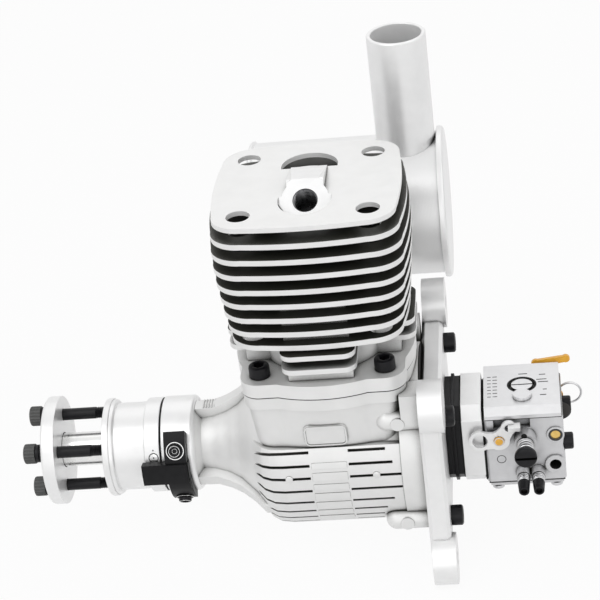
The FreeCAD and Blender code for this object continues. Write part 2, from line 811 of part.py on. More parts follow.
def drive_hub():
    """The turned driver: front flange, barrel, timing ring, taper bore and four threads."""
    flange_rear = hub_front + hub_flange_thickness
    body = turned_x([
        (hub_front, 0), (hub_front, hub_flange_r - 0.6), (hub_front + 0.6, hub_flange_r),
        (flange_rear - 0.6, hub_flange_r), (flange_rear, hub_flange_r - 0.6), (flange_rear, hub_body_r),
        (hub_ring_front, hub_body_r), (hub_ring_front, hub_ring_r - 0.4), (hub_ring_front + 0.4, hub_ring_r),
        (hub_rear, hub_ring_r), (hub_rear, 0),
    ])
    taper = turned_x([
        (hub_front - 1, 0), (hub_front - 1, spigot_r + clearance), (nut_seat, spigot_r + clearance),
        (nut_seat, hub_taper_front_r + fit), (hub_front + 1, hub_taper_front_r + fit),
        (hub_rear, front_journal_r + fit), (hub_rear + 1, front_journal_r + fit), (hub_rear + 1, 0),
    ])
    cuts = [taper, magnet(0.02)]
    for y, z in prop_places:
        cuts.append(rod_x(m5_r + thread_gap, hub_front - 1, prop_bolt_end + 1.5, y, z))
    key_half = key_width / 2 + fit
    key_way = block((key_x[0] - fit, hub_rear + 1), (-key_half, key_half), (0, key_top + fit))
    return body.cut(cuts + [key_way]).removeSplitter()


def key(grow=0.0):
    """The key that stops the driver from turning on the taper."""
    return block((key_x[0] - grow, key_x[1] + grow), (-key_width / 2 - grow, key_width / 2 + grow),
                 (key_bottom - grow, key_top))


def magnet(grow=0.0):
    """The small round magnet let into the timing ring."""
    pin = rod_y(magnet_r + grow, -hub_ring_r, -hub_ring_r + magnet_depth, magnet_x, 0)
    return at_angle(pin, magnet_angle).common(rod_x(hub_ring_r + grow, hub_ring_front, hub_rear))


def spigot_nut():
    """The polished round nut that clamps the driver and centres the propeller."""
    body = rod_x(spigot_r, spigot_front, nut_seat)
    return body.cut(rod_x(spigot_thread_r + thread_gap, spigot_front - 1, hub_front + 1))


def front_washer():
    """The disc that the propeller bolts pull against the propeller."""
    front = washer_rear - washer_thickness
    body = turned_x([
        (front, spigot_r + clearance), (front, washer_r - 1.2), (front + 1.2, washer_r),
        (washer_rear - 0.4, washer_r), (washer_rear, washer_r - 0.4), (washer_rear, spigot_r + clearance),
    ])
    return body.cut([rod_x(m5_r + hole_gap, front - 1, washer_rear + 1, y, z) for y, z in prop_places])


def propeller_bolts():
    """Four long socket screws with knurled heads, each on a lock washer."""
    seat = washer_rear - washer_thickness
    solids = []
    length = prop_bolt_end - seat + lock_washer
    for y, z in prop_places:
        screw = socket_screw(m5_r, m5_head_r, m5_head, length)
        solids.append(placed(screw, Vector(seat - lock_washer, y, z), Vector(-1, 0, 0)))
        solids.append(rod_x(m5_head_r - 0.5, seat - lock_washer, seat, y, z).cut(
            rod_x(m5_r + fit, seat - lock_washer - 1, seat + 1, y, z)))
    return solids


def sector(outer, inner, x0, x1, angles):
    """A piece of a ring about the crank axis between two angles, 0 facing -Y."""
    face = Part.Face(polygon([(x0, -inner, 0), (x1, -inner, 0), (x1, -outer, 0), (x0, -outer, 0)]))
    piece = face.revolve(ORIGIN, X, angles[1] - angles[0])
    return at_angle(piece, angles[0])


def sensor_holder():
    """The black moulding on the sensor ring, with a finger over the timing ring."""
    inner = sensor_ring_r + fit
    finger_inner = hub_ring_r + sensor_finger_gap
    body = sector(sensor_body_r - sensor_step, inner, sensor_front, sensor_rear, sensor_angles)
    upper = sector(sensor_body_r, inner, sensor_front, sensor_rear, (sensor_angles[0], finger_angles[0]))
    finger = sector(sensor_body_r + 1.2, finger_inner, sensor_finger_front, sensor_rear, finger_angles)
    return fuse(body, upper, finger.cut(rod_x(inner, case_nose_front, sensor_rear + 1)))


def sensor_screw_axes():
    """Radial directions of the two sensor screws, as (angle, radius of the seat)."""
    return [(-25.0, sensor_body_r), (44.0, sensor_body_r - sensor_step)]


def radial_rod(radius, r0, r1, x, angle):
    """A short cylinder that points away from the crank axis."""
    return at_angle(rod_y(radius, -r1, -r0, x, 0), angle)


def sensor_screw_holes():
    """The holes of both sensor screws, from the case snout outwards."""
    radius = sensor_screw_r + thread_gap
    holes = []
    for angle, seat in sensor_screw_axes():
        holes.append(radial_rod(radius, case_nose_r, seat + 1, sensor_screw_x, angle))
    return holes


def radial_screw(x, angle, seat_r):
    """A small socket screw that points at the crank axis."""
    screw = socket_screw(sensor_screw_r, 1.8 * sensor_screw_r, 2.2, seat_r - case_nose_r - thread_room)
    screw = placed(screw, Vector(x, -seat_r, 0), Vector(0, -1, 0))
    return at_angle(screw, angle)


def mount_plate():
    """The rear plate: four round lugs, straight cheeks and a waisted top and bottom."""
    near_low = Vector(plate_front, -plate_side, -lug_z)
    near_high = Vector(plate_front, -plate_side, lug_z)
    far_low = Vector(plate_front, plate_side, -lug_z)
    far_high = Vector(plate_front, plate_side, lug_z)
    outline = [
        Part.LineSegment(near_high, near_low).toShape(),
        Part.Arc(near_low, Vector(plate_front, 0, -plate_waist_z), far_low).toShape(),
        Part.LineSegment(far_low, far_high).toShape(),
        Part.Arc(far_high, Vector(plate_front, 0, plate_waist_z), near_high).toShape(),
    ]
    body = extruded(Part.Wire(outline), Vector(plate_rear - plate_front, 0, 0))
    body = body.makeChamfer(plate_bevel, [e for e in body.Edges if e.BoundBox.XLength < plate_bevel])
    lugs = []
    through = (plate_front - 1, plate_rear + 1)
    cuts = [rod_x(intake_bore_r, *through, 0, intake_z)]
    for i, j in SIGNS:
        lugs.append(rod_x(lug_r, lug_front, mount_face, i * lug_y, j * lug_z))
        cuts.append(rod_x(lug_hole_r, lug_front - 1, mount_face + 1, i * lug_y, j * lug_z))
        cuts.append(rod_x(m5_r + hole_gap, *through, i * plate_screw_y, j * plate_screw_z))
    for side in (-1, 1):
        cuts.append(rod_x(m4_r + thread_gap, *through, side * carb_bolt_y, carb_bolt_z))
    return body.fuse(lugs).cut(cuts).removeSplitter()


reed_base_x = case_rear - reed_flange
reed_run = reed_base_x - reed_tip_x
reed_slope = math.degrees(math.atan2(reed_base_half - reed_tip_half, reed_run))


def reed_block():
    """The V-shaped valve cage with its flange, a hollow mouth and a window in each face."""
    flange = block((reed_base_x, case_rear), (-reed_flange_half_y, reed_flange_half_y),
                   (intake_z - reed_flange_half_z, intake_z + reed_flange_half_z))
    wedge = extruded(polygon([
        (reed_base_x, -reed_half_y, intake_z - reed_base_half),
        (reed_tip_x, -reed_half_y, intake_z - reed_tip_half),
        (reed_tip_x, -reed_half_y, intake_z + reed_tip_half),
        (reed_base_x, -reed_half_y, intake_z + reed_base_half),
    ]), Vector(0, 2 * reed_half_y, 0))
    inner_y = reed_half_y - 2.0
    mouth_half = reed_base_half - reed_wall
    mouth = extruded(polygon([
        (case_rear + 1, -inner_y, intake_z - mouth_half), (reed_base_x, -inner_y, intake_z - mouth_half),
        (reed_tip_x + 3.5, -inner_y, intake_z - 0.8), (reed_tip_x + 3.5, -inner_y, intake_z + 0.8),
        (reed_base_x, -inner_y, intake_z + mouth_half), (case_rear + 1, -inner_y, intake_z + mouth_half),
    ]), Vector(0, 2 * inner_y, 0))
    ports = []
    for side in (-1, 1):
        y = sorted([side * 1.2, side * inner_y])
        ports.append(block((reed_tip_x + 4.5, reed_base_x - 4.5), y, (intake_z - 12, intake_z + 12)))
    return flange.fuse(wedge).cut([mouth] + ports).removeSplitter()


def reed_strip(side, offset, thickness, extra, half_y):
    """A flat strip on one face of the cage, clamped near the flange."""
    start = Vector(reed_base_x - 0.4, 0, 0)
    length = reed_run / math.cos(math.radians(reed_slope)) - 0.6
    strip = block((-length, 0), (-half_y, half_y), (offset, offset + thickness))
    strip.rotate(ORIGIN, Y, extra)
    if side < 0:
        strip = strip.mirror(ORIGIN, Z)
    strip.rotate(ORIGIN, Y, -side * reed_slope)
    root = reed_base_half - 0.4 * math.tan(math.radians(reed_slope))
    strip.translate(start + Vector(0, 0, intake_z + side * root))
    return strip


def bevelled_block(x, half_y, z, bevel):
    """A box along X with its four long edges bevelled."""
    return extruded(polygon([
        (x[0], -half_y + bevel, z[0]), (x[0], half_y - bevel, z[0]), (x[0], half_y, z[0] + bevel),
        (x[0], half_y, z[1] - bevel), (x[0], half_y - bevel, z[1]), (x[0], -half_y + bevel, z[1]),
        (x[0], -half_y, z[1] - bevel), (x[0], -half_y, z[0] + bevel),
    ]), Vector(x[1] - x[0], 0, 0))


def intake_flange(x0, x1, half_y, z, bevel):
    """A block of the intake stack with its round passage and two bolt holes."""
    body = bevelled_block((x0, x1), half_y, z, bevel)
    cuts = [rod_x(intake_bore_r, x0 - 1, x1 + 1, 0, intake_z)]
    for side in (-1, 1):
        cuts.append(rod_x(m4_r + hole_gap, x0 - 1, x1 + 1, side * carb_bolt_y, carb_bolt_z))
    return body.cut(cuts)


def insulator_block():
    """The black heat-insulating block, with a raised ridge round it."""
    body = intake_flange(plate_rear, insulator_rear, insulator_half_y, insulator_z, insulator_bevel)
    half_y = insulator_half_y + insulator_ridge_height
    ridge_z = (insulator_z[0] - insulator_ridge_height, insulator_z[1] + insulator_ridge_height)
    ridge = bevelled_block(insulator_ridge, half_y, ridge_z, insulator_bevel)
    core = bevelled_block((plate_rear, insulator_rear), insulator_half_y, insulator_z, insulator_bevel)
    return fuse(body, ridge.cut(core))


cover_screw_places = [
    (x, side * (carb_half_y - cover_screw_inset))
    for x in (carb_front + cover_screw_inset, carb_rear - cover_screw_inset) for side in (-1, 1)
]
top_cover_base = carb_z[1] + cover_gasket
top_cover_top = top_cover_base + top_cover_height
bottom_cover_top = carb_z[0] - cover_gasket
bottom_cover_base = bottom_cover_top - bottom_cover_height
pump_hole_end = carb_z[1] - pump_thread_depth - thread_room
cover_hole_end = carb_z[0] + cover_thread_depth + thread_room
idle_boss_y = -carb_half_y - idle_boss_height
needle_boss_y = -carb_half_y - needle_boss_height
idle_hole_end = -carb_half_y + idle_tip_depth + thread_room
needle_hole_end = -carb_half_y + needle_depth + 2 * thread_room
fuel_port_end = -carb_half_y - fuel_boss_height + fuel_port_depth


def carburettor_body():
    """The die-cast body: throat, spindle bores, screw bosses and the fuel port."""
    front_face = -carb_half_y
    body = block((carb_front, carb_rear), (front_face, carb_half_y), carb_z)
    uprights = [e for e in body.Edges if e.BoundBox.ZLength > 20]
    body = body.makeFillet(carb_corner_r, uprights)
    pocket_x = (carb_front + side_pocket_x[0], carb_front + side_pocket_x[1])
    pocket_y = (front_face - 1, front_face + side_pocket_depth)
    body = body.cut(block(pocket_x, pocket_y, (side_pocket_z, carb_z[1] + 1)))
    inside = front_face + 1
    bosses = [
        rod_y(idle_boss_r, idle_boss_y, inside, idle_screw_x, idle_screw_z),
        rod_y(fuel_boss_r, front_face - fuel_boss_height, inside, fuel_port_x, fuel_port_z),
        rod_y(spindle_boss_r, front_face - choke_end_height, inside, choke_x, intake_z),
        rod_y(spindle_boss_r, front_face - spindle_boss_height, inside, throttle_x, intake_z),
        rod_y(spindle_boss_r, carb_half_y - 1, carb_half_y + spindle_boss_height, choke_x, intake_z),
    ]
    for x in needle_xs.values():
        bosses.append(rod_y(needle_boss_r, needle_boss_y, inside, x, needle_z))
    body = body.fuse(bosses)
    throat = turned_x([
        (carb_front - 1, 0), (carb_front - 1, throttle_bore_r), (venturi_x[0], throttle_bore_r),
        (venturi_x[0] + venturi_slope, venturi_r), (venturi_x[1] - venturi_slope, venturi_r),
        (venturi_x[1], inlet_r), (carb_rear + 1, inlet_r), (carb_rear + 1, 0),
    ])
    throat.translate(Vector(0, 0, intake_z))
    cuts = [
        throat,
        rod_y(spindle_r + spindle_fit, -40, 40, throttle_x, intake_z),
        rod_y(spindle_r + spindle_fit, -40, 40, choke_x, intake_z),
        rod_y(m4_r + thread_gap, idle_boss_y - 1, idle_hole_end, idle_screw_x, idle_screw_z),
        rod_y(fuel_port_r, front_face - fuel_boss_height - 1, fuel_port_end, fuel_port_x, fuel_port_z),
    ]
    for x in needle_xs.values():
        cuts.append(rod_y(needle_r + thread_gap, needle_boss_y - 1, needle_hole_end, x, needle_z))
    cuts.append(rod_z(pump_screw_r + thread_gap, pump_hole_end, carb_z[1] + 1, pump_screw_x, pump_screw_y))
    for x, y in cover_screw_places:
        cuts.append(rod_z(cover_screw_r + thread_gap, carb_z[0] - 1, cover_hole_end, x, y))
    for side in (-1, 1):
        y = side * carb_bolt_y
        cuts.append(rod_x(m4_r + hole_gap, carb_front - 1, carb_rear + 1, y, carb_bolt_z))
        cuts.append(rod_x(m4_head_r + 2 * hole_gap, carb_bolt_seat, carb_rear + 1, y, carb_bolt_z))
    return body.cut(cuts).removeSplitter()


def pump_cover():
    """The top cover: bevelled front edge, a low stud and the recess of its one screw."""
    start = carb_front + cover_inset
    front = -carb_half_y - cover_overhang
    section = polygon([
        (start, front, top_cover_base),
        (start, carb_half_y, top_cover_base),
        (start, carb_half_y, top_cover_top),
        (start, front + top_cover_bevel, top_cover_top),
        (start, front, top_cover_base + top_cover_edge),
    ])
    body = extruded(section, Vector(carb_rear - carb_front - 2 * cover_inset, 0, 0))
    stud_top = top_cover_top + cover_stud_height
    stud = rod_z(cover_stud_r, top_cover_base + 1, stud_top, pump_screw_x, cover_stud_y)
    place = (pump_screw_x, pump_screw_y)
    cuts = [
        rod_z(pump_head_r + pump_recess_gap, top_cover_top - pump_recess_depth, top_cover_top + 1, *place),
        rod_z(pump_screw_r + cover_screw_gap, top_cover_base - 1, top_cover_top + 1, *place),
    ]
    return body.cut(cuts).fuse(stud).removeSplitter()


def metering_cover():
    """The bottom cover, held by four screws."""
    inset = 2 * cover_inset
    body = block((carb_front + inset, carb_rear - inset), (-carb_half_y + inset, carb_half_y - inset),
                 (bottom_cover_base, bottom_cover_top))
    edges = [e for e in body.Edges if e.CenterOfMass.z < bottom_cover_base + 0.1]
    body = body.makeChamfer(1.0, edges)
    hole_r = cover_screw_r + cover_screw_gap
    holes = [rod_z(hole_r, bottom_cover_base - 1, bottom_cover_top + 1, x, y) for x, y in cover_screw_places]
    return body.cut(holes)


def pan_screw(radius, head_r, head, length, x, y, z, direction):
    """A slotted pan-head screw whose head stands on a face at height z."""
    shank = Part.makeCylinder(radius, length, Vector(0, 0, -length))
    screw = Part.makeCylinder(head_r, head).fuse(shank)
    slot = block((-head_r, head_r), (-0.35, 0.35), (head / 2, head + 1))
    return placed(screw.cut(slot).removeSplitter(), Vector(x, y, z), direction)


def spindle(x, y0, y1, bore_r):
    """A butterfly spindle, slotted where its plate passes through."""
    shaft = rod_y(spindle_r, y0, y1, x, intake_z)
    slot = block((x - 3, x + 3), (-bore_r, bore_r), (-butterfly_thickness / 2, butterfly_thickness / 2))
    slot.translate(Vector(0, 0, intake_z))
    return shaft, slot


def butterfly(x, radius):
    """A butterfly plate, drawn lying along the throat."""
    return rod_z(radius, intake_z - butterfly_thickness / 2, intake_z + butterfly_thickness / 2, x, 0)


def turned_about_spindle(shape, x, angle):
    """Turn a shape about a spindle that runs along Y."""
    moved = shape.copy()
    moved.rotate(Vector(x, 0, intake_z), Y, angle)
    return moved


def link_plate(points, radii, y, thickness):
    """A flat lever of round eyes joined by tapered arms, in the XZ plane."""
    solids = []
    for (px, pz), r in zip(points, radii):
        solids.append(rod_y(r, y, y + thickness, px, pz))
    for k in range(len(points) - 1):
        a = Vector(points[k][0], y, points[k][1])
        b = Vector(points[k + 1][0], y, points[k + 1][1])
        side = (b - a).cross(Y).normalize()
        corners = [a + side * radii[k] * 0.85, b + side * radii[k + 1] * 0.85,
                   b - side * radii[k + 1] * 0.85, a - side * radii[k] * 0.85]
        solids.append(Part.Face(Part.makePolygon(corners + corners[:1])).extrude(Vector(0, thickness, 0)))
    return solids[0].fuse(solids[1:]).removeSplitter()


lever_y = -carb_half_y - spindle_boss_height - lever_gap - lever_thickness
choke_lever_y = carb_half_y + spindle_boss_height + lever_gap


def throttle_lever():
    """The flat lever on the throttle spindle: a large eye, a small eye and a stop tab."""
    points = [throttle_eye, (throttle_x, intake_z), throttle_link]
    radii = [throttle_eye_r, throttle_hub_r, throttle_link_r]
    body = link_plate(points, radii, lever_y, lever_thickness)
    tab = block(stop_tab_x, (lever_y - stop_tab_reach, lever_y + lever_thickness), stop_tab_z)
    body = body.fuse(tab)
    through = (lever_y - 1, lever_y + lever_thickness + 1)
    cuts = [
        rod_y(throttle_eye_hole_r, *through, *throttle_eye),
        rod_y(throttle_link_hole_r, *through, *throttle_link),
        rod_y(spindle_r, *through, throttle_x, intake_z),
    ]
    return body.cut(cuts).removeSplitter()


def choke_lever():
    """The bent orange lever on the far end of the choke spindle."""
    hub = (choke_x, intake_z)
    body = link_plate([hub] + choke_handle, choke_handle_r, choke_lever_y, lever_thickness)
    body = body.fuse(link_plate([hub, pull_hole], choke_arm_r, choke_lever_y, lever_thickness))
    through = (choke_lever_y - 1, choke_lever_y + lever_thickness + 1)
    return body.cut([
        rod_y(spindle_r, *through, *hub),
        rod_y(pull_ring_wire + hole_gap, *through, *pull_hole),
    ]).removeSplitter()


def sleeve_spring(x, z, y0, y1, r, turns):
    """A short compression spring, drawn as a wavy sleeve."""
    pitch = (y1 - y0) / turns
    points = [(r - spring_wire, y0)]
    for k in range(turns):
        points.append((r - 0.45 * spring_wire, y0 + pitch * k))
        points.append((r, y0 + pitch * (k + 0.5)))
    points += [(r - 0.45 * spring_wire, y1), (r - spring_wire, y1)]
    sleeve = Part.Face(polygon([(px, py, 0) for px, py in points])).revolve(ORIGIN, Y, 360)
    sleeve.translate(Vector(x, 0, z))
    return sleeve


def slotted_screw(x, z, head_y, head_r, head, shank_r, tip_y, cone):
    """A screw along Y with a slotted head and a cone tip."""
    body = rod_y(head_r, head_y, head_y + head, x, z)
    shank = rod_y(shank_r, head_y + head, tip_y - cone, x, z)
    tip = Part.makeCone(shank_r, 0.3, cone, Vector(x, tip_y - cone, z), Y)
    slot = block((x - head_r - 1, x + head_r + 1), (head_y - 1, head_y + head * 0.45), (z - 0.5, z + 0.5))
    return body.fuse([shank, tip]).cut(slot).removeSplitter()


duct_z = (exhaust_bottom + 1 - duct_side_wall, exhaust_top + 1 + duct_side_wall)


def exhaust_flange():
    """The plate on the exhaust port and the duct into the can."""
    y0 = exhaust_face_y + gasket_thickness
    plate = block((-exhaust_boss_half, exhaust_boss_half), (y0, y0 + exhaust_flange_thickness),
                  (can_z - exhaust_flange_half_z, can_z + exhaust_flange_half_z))
    corners = [e for e in plate.Edges if e.BoundBox.YLength > 3]
    plate = plate.makeFillet(6.0, corners)
    duct_half = exhaust_half + duct_side_wall
    duct = block((-duct_half, duct_half), (y0, can_y - can_r + 6), duct_z)
    hole = block((-exhaust_half, exhaust_half), (y0 - 1, can_y), (exhaust_bottom + 1, exhaust_top + 1))
    cuts = [hole]
    for side in (-1, 1):
        cuts.append(rod_y(m5_r + hole_gap, y0 - 1, y0 + 10, side * exhaust_screw_x, can_z))
    return fuse(plate, duct).cut(cuts).removeSplitter()


def muffler_can():
    """The thin can with its rolled front rim, open at the rear for the end cap."""
    outer = rod_x(can_r, can_front, can_rear, can_y, can_z)
    rim = rod_x(can_r + can_rim_height, can_front, can_front + can_rim_width, can_y, can_z)
    inner = rod_x(can_r - can_wall, can_front + can_wall, can_rear + 1, can_y, can_z)
    duct_half = exhaust_half + duct_side_wall + fit
    duct = block((-duct_half, duct_half), (can_y - can_r - 5, can_y - can_r + 12),
                 (duct_z[0] - fit, duct_z[1] + fit))
    tube = rod_z(tube_r + fit, can_z, can_z + can_r + 5, tube_x, can_y)
    return outer.fuse(rim).cut([inner, duct, tube]).removeSplitter()


def muffler_end_cap():
    """The pressed rear cap, a lid whose rim grips the outside of the can."""
    body = turned_x([
        (cap_front, can_r + fit), (cap_front, cap_r), (cap_rear - cap_bevel, cap_r),
        (cap_rear, cap_r - cap_bevel), (cap_rear, 0), (can_rear + cap_gap, 0),
        (can_rear + cap_gap, can_r + fit),
    ])
    body.translate(Vector(0, can_y, can_z))
    return body


# Case, cylinder and their bolts
save("crankcase", crankcase())
save("cylinder", cylinder())
base_face = extruded(base_outline(case_deck, 0.2), Vector(0, 0, gasket_thickness))
gasket_z = (case_deck - 1, cylinder_base + 1)
gasket_cuts = [rod_z(bore / 2 + liner_wall + fit, *gasket_z)]
for turn in range(3):
    slot = block((-port_half, port_half), (-barrel_r + duct_wall, 0), gasket_z)
    slot.rotate(ORIGIN, Z, 90 * (turn - 1))
    gasket_cuts.append(slot)
for side_x, side_y in SIGNS:
    gasket_cuts.append(rod_z(m5_r + hole_gap, *gasket_z, side_x * bolt_half, side_y * bolt_half))
save("cylinder_gasket", base_face.cut(gasket_cuts))
base_screw = socket_screw(m5_r, m5_head_r, m5_head, flange_top - case_deck + base_thread_depth)
save("cylinder_bolts",
     *[placed(base_screw, Vector(i * bolt_half, j * bolt_half, flange_top), Z) for i, j in SIGNS])

# Rear plate, reed valve and intake stack
save("rear_mount_plate", mount_plate())
plate_screw = socket_screw(m5_r, m5_head_r, m5_head, plate_rear - case_rear + plate_thread_depth)
save("mount_plate_bolts",
     *[placed(plate_screw, Vector(plate_rear, i * plate_screw_y, j * plate_screw_z), X) for i, j in SIGNS])
rear_lobes = []
rear_cuts = [block((case_rear - 1, plate_front + 1), (-window_half_y, window_half_y),
                   (intake_z - window_half_z, intake_z + window_half_z))]
for i, j in SIGNS:
    place = (i * plate_screw_y, j * plate_screw_z)
    rear_lobes.append(rod_x(boss_r, case_rear, plate_front, *place))
    rear_cuts.append(rod_x(m5_r + hole_gap, case_rear - 1, plate_front + 1, *place))
rear_gasket = rod_x(rib_r, case_rear, plate_front).fuse(rear_lobes)
save("crankcase_gasket", rear_gasket.cut(rear_cuts).removeSplitter())
save("reed_block", reed_block())
save("upper_reed_petal", reed_strip(1, petal_gap, petal_thickness, 0, reed_half_y - 1))
save("lower_reed_petal", reed_strip(-1, petal_gap, petal_thickness, 0, reed_half_y - 1))
stop_offset = 2 * petal_gap + petal_thickness + 0.1
save("reed_stops",
     *[reed_strip(side, stop_offset, stop_thickness, stop_angle, reed_half_y - 3) for side in (1, -1)])
save("insulator_block", insulator_block())
spacer_front = insulator_rear + gasket_thickness
save("intake_spacer", intake_flange(spacer_front, spacer_rear, spacer_half_y, spacer_z, spacer_bevel))
save("intake_gaskets",
     intake_flange(insulator_rear, spacer_front, insulator_half_y, insulator_z, insulator_bevel),
     intake_flange(spacer_rear, carb_front, carb_half_y - cover_overhang, carb_z, carb_corner_r))

# Carburettor
save("carburettor_body", carburettor_body())
save("pump_cover", pump_cover())
save("metering_cover", metering_cover())
diaphragms = []
for low, places in ((carb_z[1], [(pump_screw_x, pump_screw_y)]), (bottom_cover_top, cover_screw_places)):
    sheet = block((carb_front + cover_inset, carb_rear - cover_inset), (-carb_half_y, carb_half_y),
                  (low, low + cover_gasket))
    holes = [rod_z(pump_screw_r + hole_gap, low - 1, low + 2, x, y) for x, y in places]
    diaphragms.append(sheet.cut(holes))
save("carburettor_diaphragms", *diaphragms)
pump_seat = top_cover_top - pump_recess_depth
pump_screw_length = pump_seat - carb_z[1] + pump_thread_depth
cover_screw_length = bottom_cover_height + cover_gasket + cover_thread_depth
cover_screws = [pan_screw(pump_screw_r, pump_head_r, pump_head, pump_screw_length,
                          pump_screw_x, pump_screw_y, pump_seat, Z)]
for x, y in cover_screw_places:
    cover_screws.append(pan_screw(cover_screw_r, pan_head_r, pan_head, cover_screw_length,
                                  x, y, bottom_cover_base, -Z))
save("cover_screws", *cover_screws)
carb_screw = socket_screw(m4_r, m4_head_r, m4_head, carb_bolt_seat - plate_front - 1)
save("carburettor_bolts",
     *[placed(carb_screw, Vector(carb_bolt_seat, side * carb_bolt_y, carb_bolt_z), X) for side in (-1, 1)])
spring_start = carb_half_y + spring_room
spring_end = spring_start + throttle_spring_length
cap_start = spring_end + 2 * spring_room
throttle_end = cap_start + throttle_spring_cap
throttle_shaft, throttle_slot = spindle(throttle_x, lever_y - spindle_stand, throttle_end, throttle_bore_r)
spring_cap = rod_y(throttle_spring_r - spring_room, cap_start, throttle_end, throttle_x, intake_z)
throttle_shaft = fuse(throttle_shaft, spring_cap).cut(throttle_slot)
throttle_angle = 90 - idle_opening
save("throttle_shaft", turned_about_spindle(throttle_shaft, throttle_x, throttle_angle))
throttle_disc = butterfly(throttle_x, throttle_bore_r - plate_fit)
save("throttle_plate", turned_about_spindle(throttle_disc, throttle_x, throttle_angle))
save("throttle_lever", throttle_lever())
choke_near = -carb_half_y - choke_end_height / 2
choke_far = choke_lever_y + lever_thickness + spindle_stand
choke_shaft, choke_slot = spindle(choke_x, choke_near, choke_far, inlet_r)
save("choke_shaft", choke_shaft.cut(choke_slot))
save("choke_plate", butterfly(choke_x, inlet_r - plate_fit))
save("choke_lever", choke_lever())
ring_y = choke_lever_y + lever_thickness + spring_room / 2 + pull_ring_wire
hexagon = []
for angle in range(0, 360, 60):
    turn = math.radians(angle)
    hexagon.append((pull_ring_r + pull_ring_wire * math.cos(turn), pull_ring_wire * math.sin(turn), 0))
pull_ring = Part.Face(polygon(hexagon)).revolve(ORIGIN, Y, 360)
pull_ring.translate(Vector(pull_hole[0] + pull_ring_r, ring_y, pull_hole[1]))
pull_ring = pull_ring.fuse(rod_y(pull_ring_wire, ring_y - pull_hook, ring_y, *pull_hole))
save("choke_pull_ring", pull_ring)
idle_head_y = idle_boss_y - idle_head_stand
idle_tip_y = -carb_half_y + idle_tip_depth
save("idle_speed_screw", slotted_screw(idle_screw_x, idle_screw_z, idle_head_y, idle_head_r, idle_head,
                                       m4_r, idle_tip_y, idle_cone))
idle_spring_y = (idle_head_y + idle_head + spring_room, idle_boss_y - spring_room / 2)
save("idle_screw_spring", sleeve_spring(idle_screw_x, idle_screw_z, *idle_spring_y, idle_spring_r, 4))
needle_head_y = needle_boss_y - needle_head_stand
needle_tip_y = -carb_half_y + needle_depth
for name, x in needle_xs.items():
    save(name + "_speed_needle", slotted_screw(x, needle_z, needle_head_y, needle_head_r, needle_head,
                                               needle_r, needle_tip_y, needle_cone))
needle_spring_y = (needle_head_y + needle_head + spring_room, needle_boss_y - spring_room / 2)
save("needle_springs",
     *[sleeve_spring(x, needle_z, *needle_spring_y, needle_spring_r, 3) for x in needle_xs.values()])
save("throttle_spring", sleeve_spring(throttle_x, intake_z, spring_start, spring_end, throttle_spring_r, 3))

# Shaft group
save("crankshaft", crankshaft())
front_pieces = bearing(front_bearing_r, front_journal_r, front_bearing_front, front_bearing_rear)
rear_pieces = bearing(rear_bearing_r, rear_journal_r, rear_bearing_front, rear_bearing_rear)
front_outer, front_inner, front_balls = front_pieces
rear_outer, rear_inner, rear_balls = rear_pieces
save("bearing_outer_races", front_outer, rear_outer)
save("bearing_inner_races", front_inner, rear_inner)
save("bearing_balls", *(front_balls + rear_balls))
save("front_oil_seal", ring_x(seal_r, front_journal_r + 0.05, seal_front, seal_front + seal_width))
save("drive_hub", drive_hub())
save("timing_magnet", magnet())
save("hub_key", key())
save("spigot_nut", spigot_nut())
save("front_washer", front_washer())
save("propeller_bolts", *propeller_bolts())

# Piston and rod
save("piston", piston())
save("piston_rings", *piston_rings())
pin_hole = rod_x(wrist_pin_bore_r, -pin_half - 1, pin_half + 1, 0, pin_top)
save("wrist_pin", rod_x(wrist_pin_r, -pin_half, pin_half, 0, pin_top).cut(pin_hole))
clips = []
for side in (-1, 1):
    x = sorted([side * pin_half, side * (pin_half + circlip_thickness)])
    clip = ring_x(wrist_pin_r + circlip_grip, wrist_pin_r - 0.8, *x)
    clip.translate(Vector(0, 0, pin_top))
    clips.append(clip.cut(block((x[0] - 1, x[1] + 1), (-1.2, 1.2), (pin_top, pin_top + 9))))
save("wrist_pin_circlips", *clips)
save("connecting_rod", connecting_rod())
small_ring = wrist_pin_r + needle_thickness * 0.75
bearing_half = rod_width / 2 - clearance
big_ring = rod_x(crankpin_r + needle_thickness, -bearing_half, bearing_half, 0, crank_r)
big_bearing = big_ring.cut(rod_x(crankpin_r, -rod_width, rod_width, 0, crank_r))
small_sleeve = rod_x(small_ring, -bearing_half, bearing_half, 0, pin_top)
small_bearing = small_sleeve.cut(rod_x(wrist_pin_r + pin_fit, -rod_width, rod_width, 0, pin_top))
save("rod_bearings", big_bearing, small_bearing)
save("crankpin", rod_x(crankpin_r, -rod_width / 2, rod_width / 2 + 1.0, 0, crank_r))

# Ignition sensor
ring_blank = turned_x([
    (case_nose_front, case_nose_r + fit), (case_nose_front, sensor_ring_r - 0.4),
    (case_nose_front + 0.4, sensor_ring_r), (sensor_ring_rear - 1.5, sensor_ring_r),
    (sensor_ring_rear, sensor_ring_r - 1.5), (sensor_ring_rear, case_nose_r + fit),
])
save("sensor_ring", ring_blank.cut(sensor_screw_holes()))
save("sensor_holder", sensor_holder().cut(sensor_screw_holes()).removeSplitter())
save("sensor_screws", *[radial_screw(sensor_screw_x, angle, seat) for angle, seat in sensor_screw_axes()])

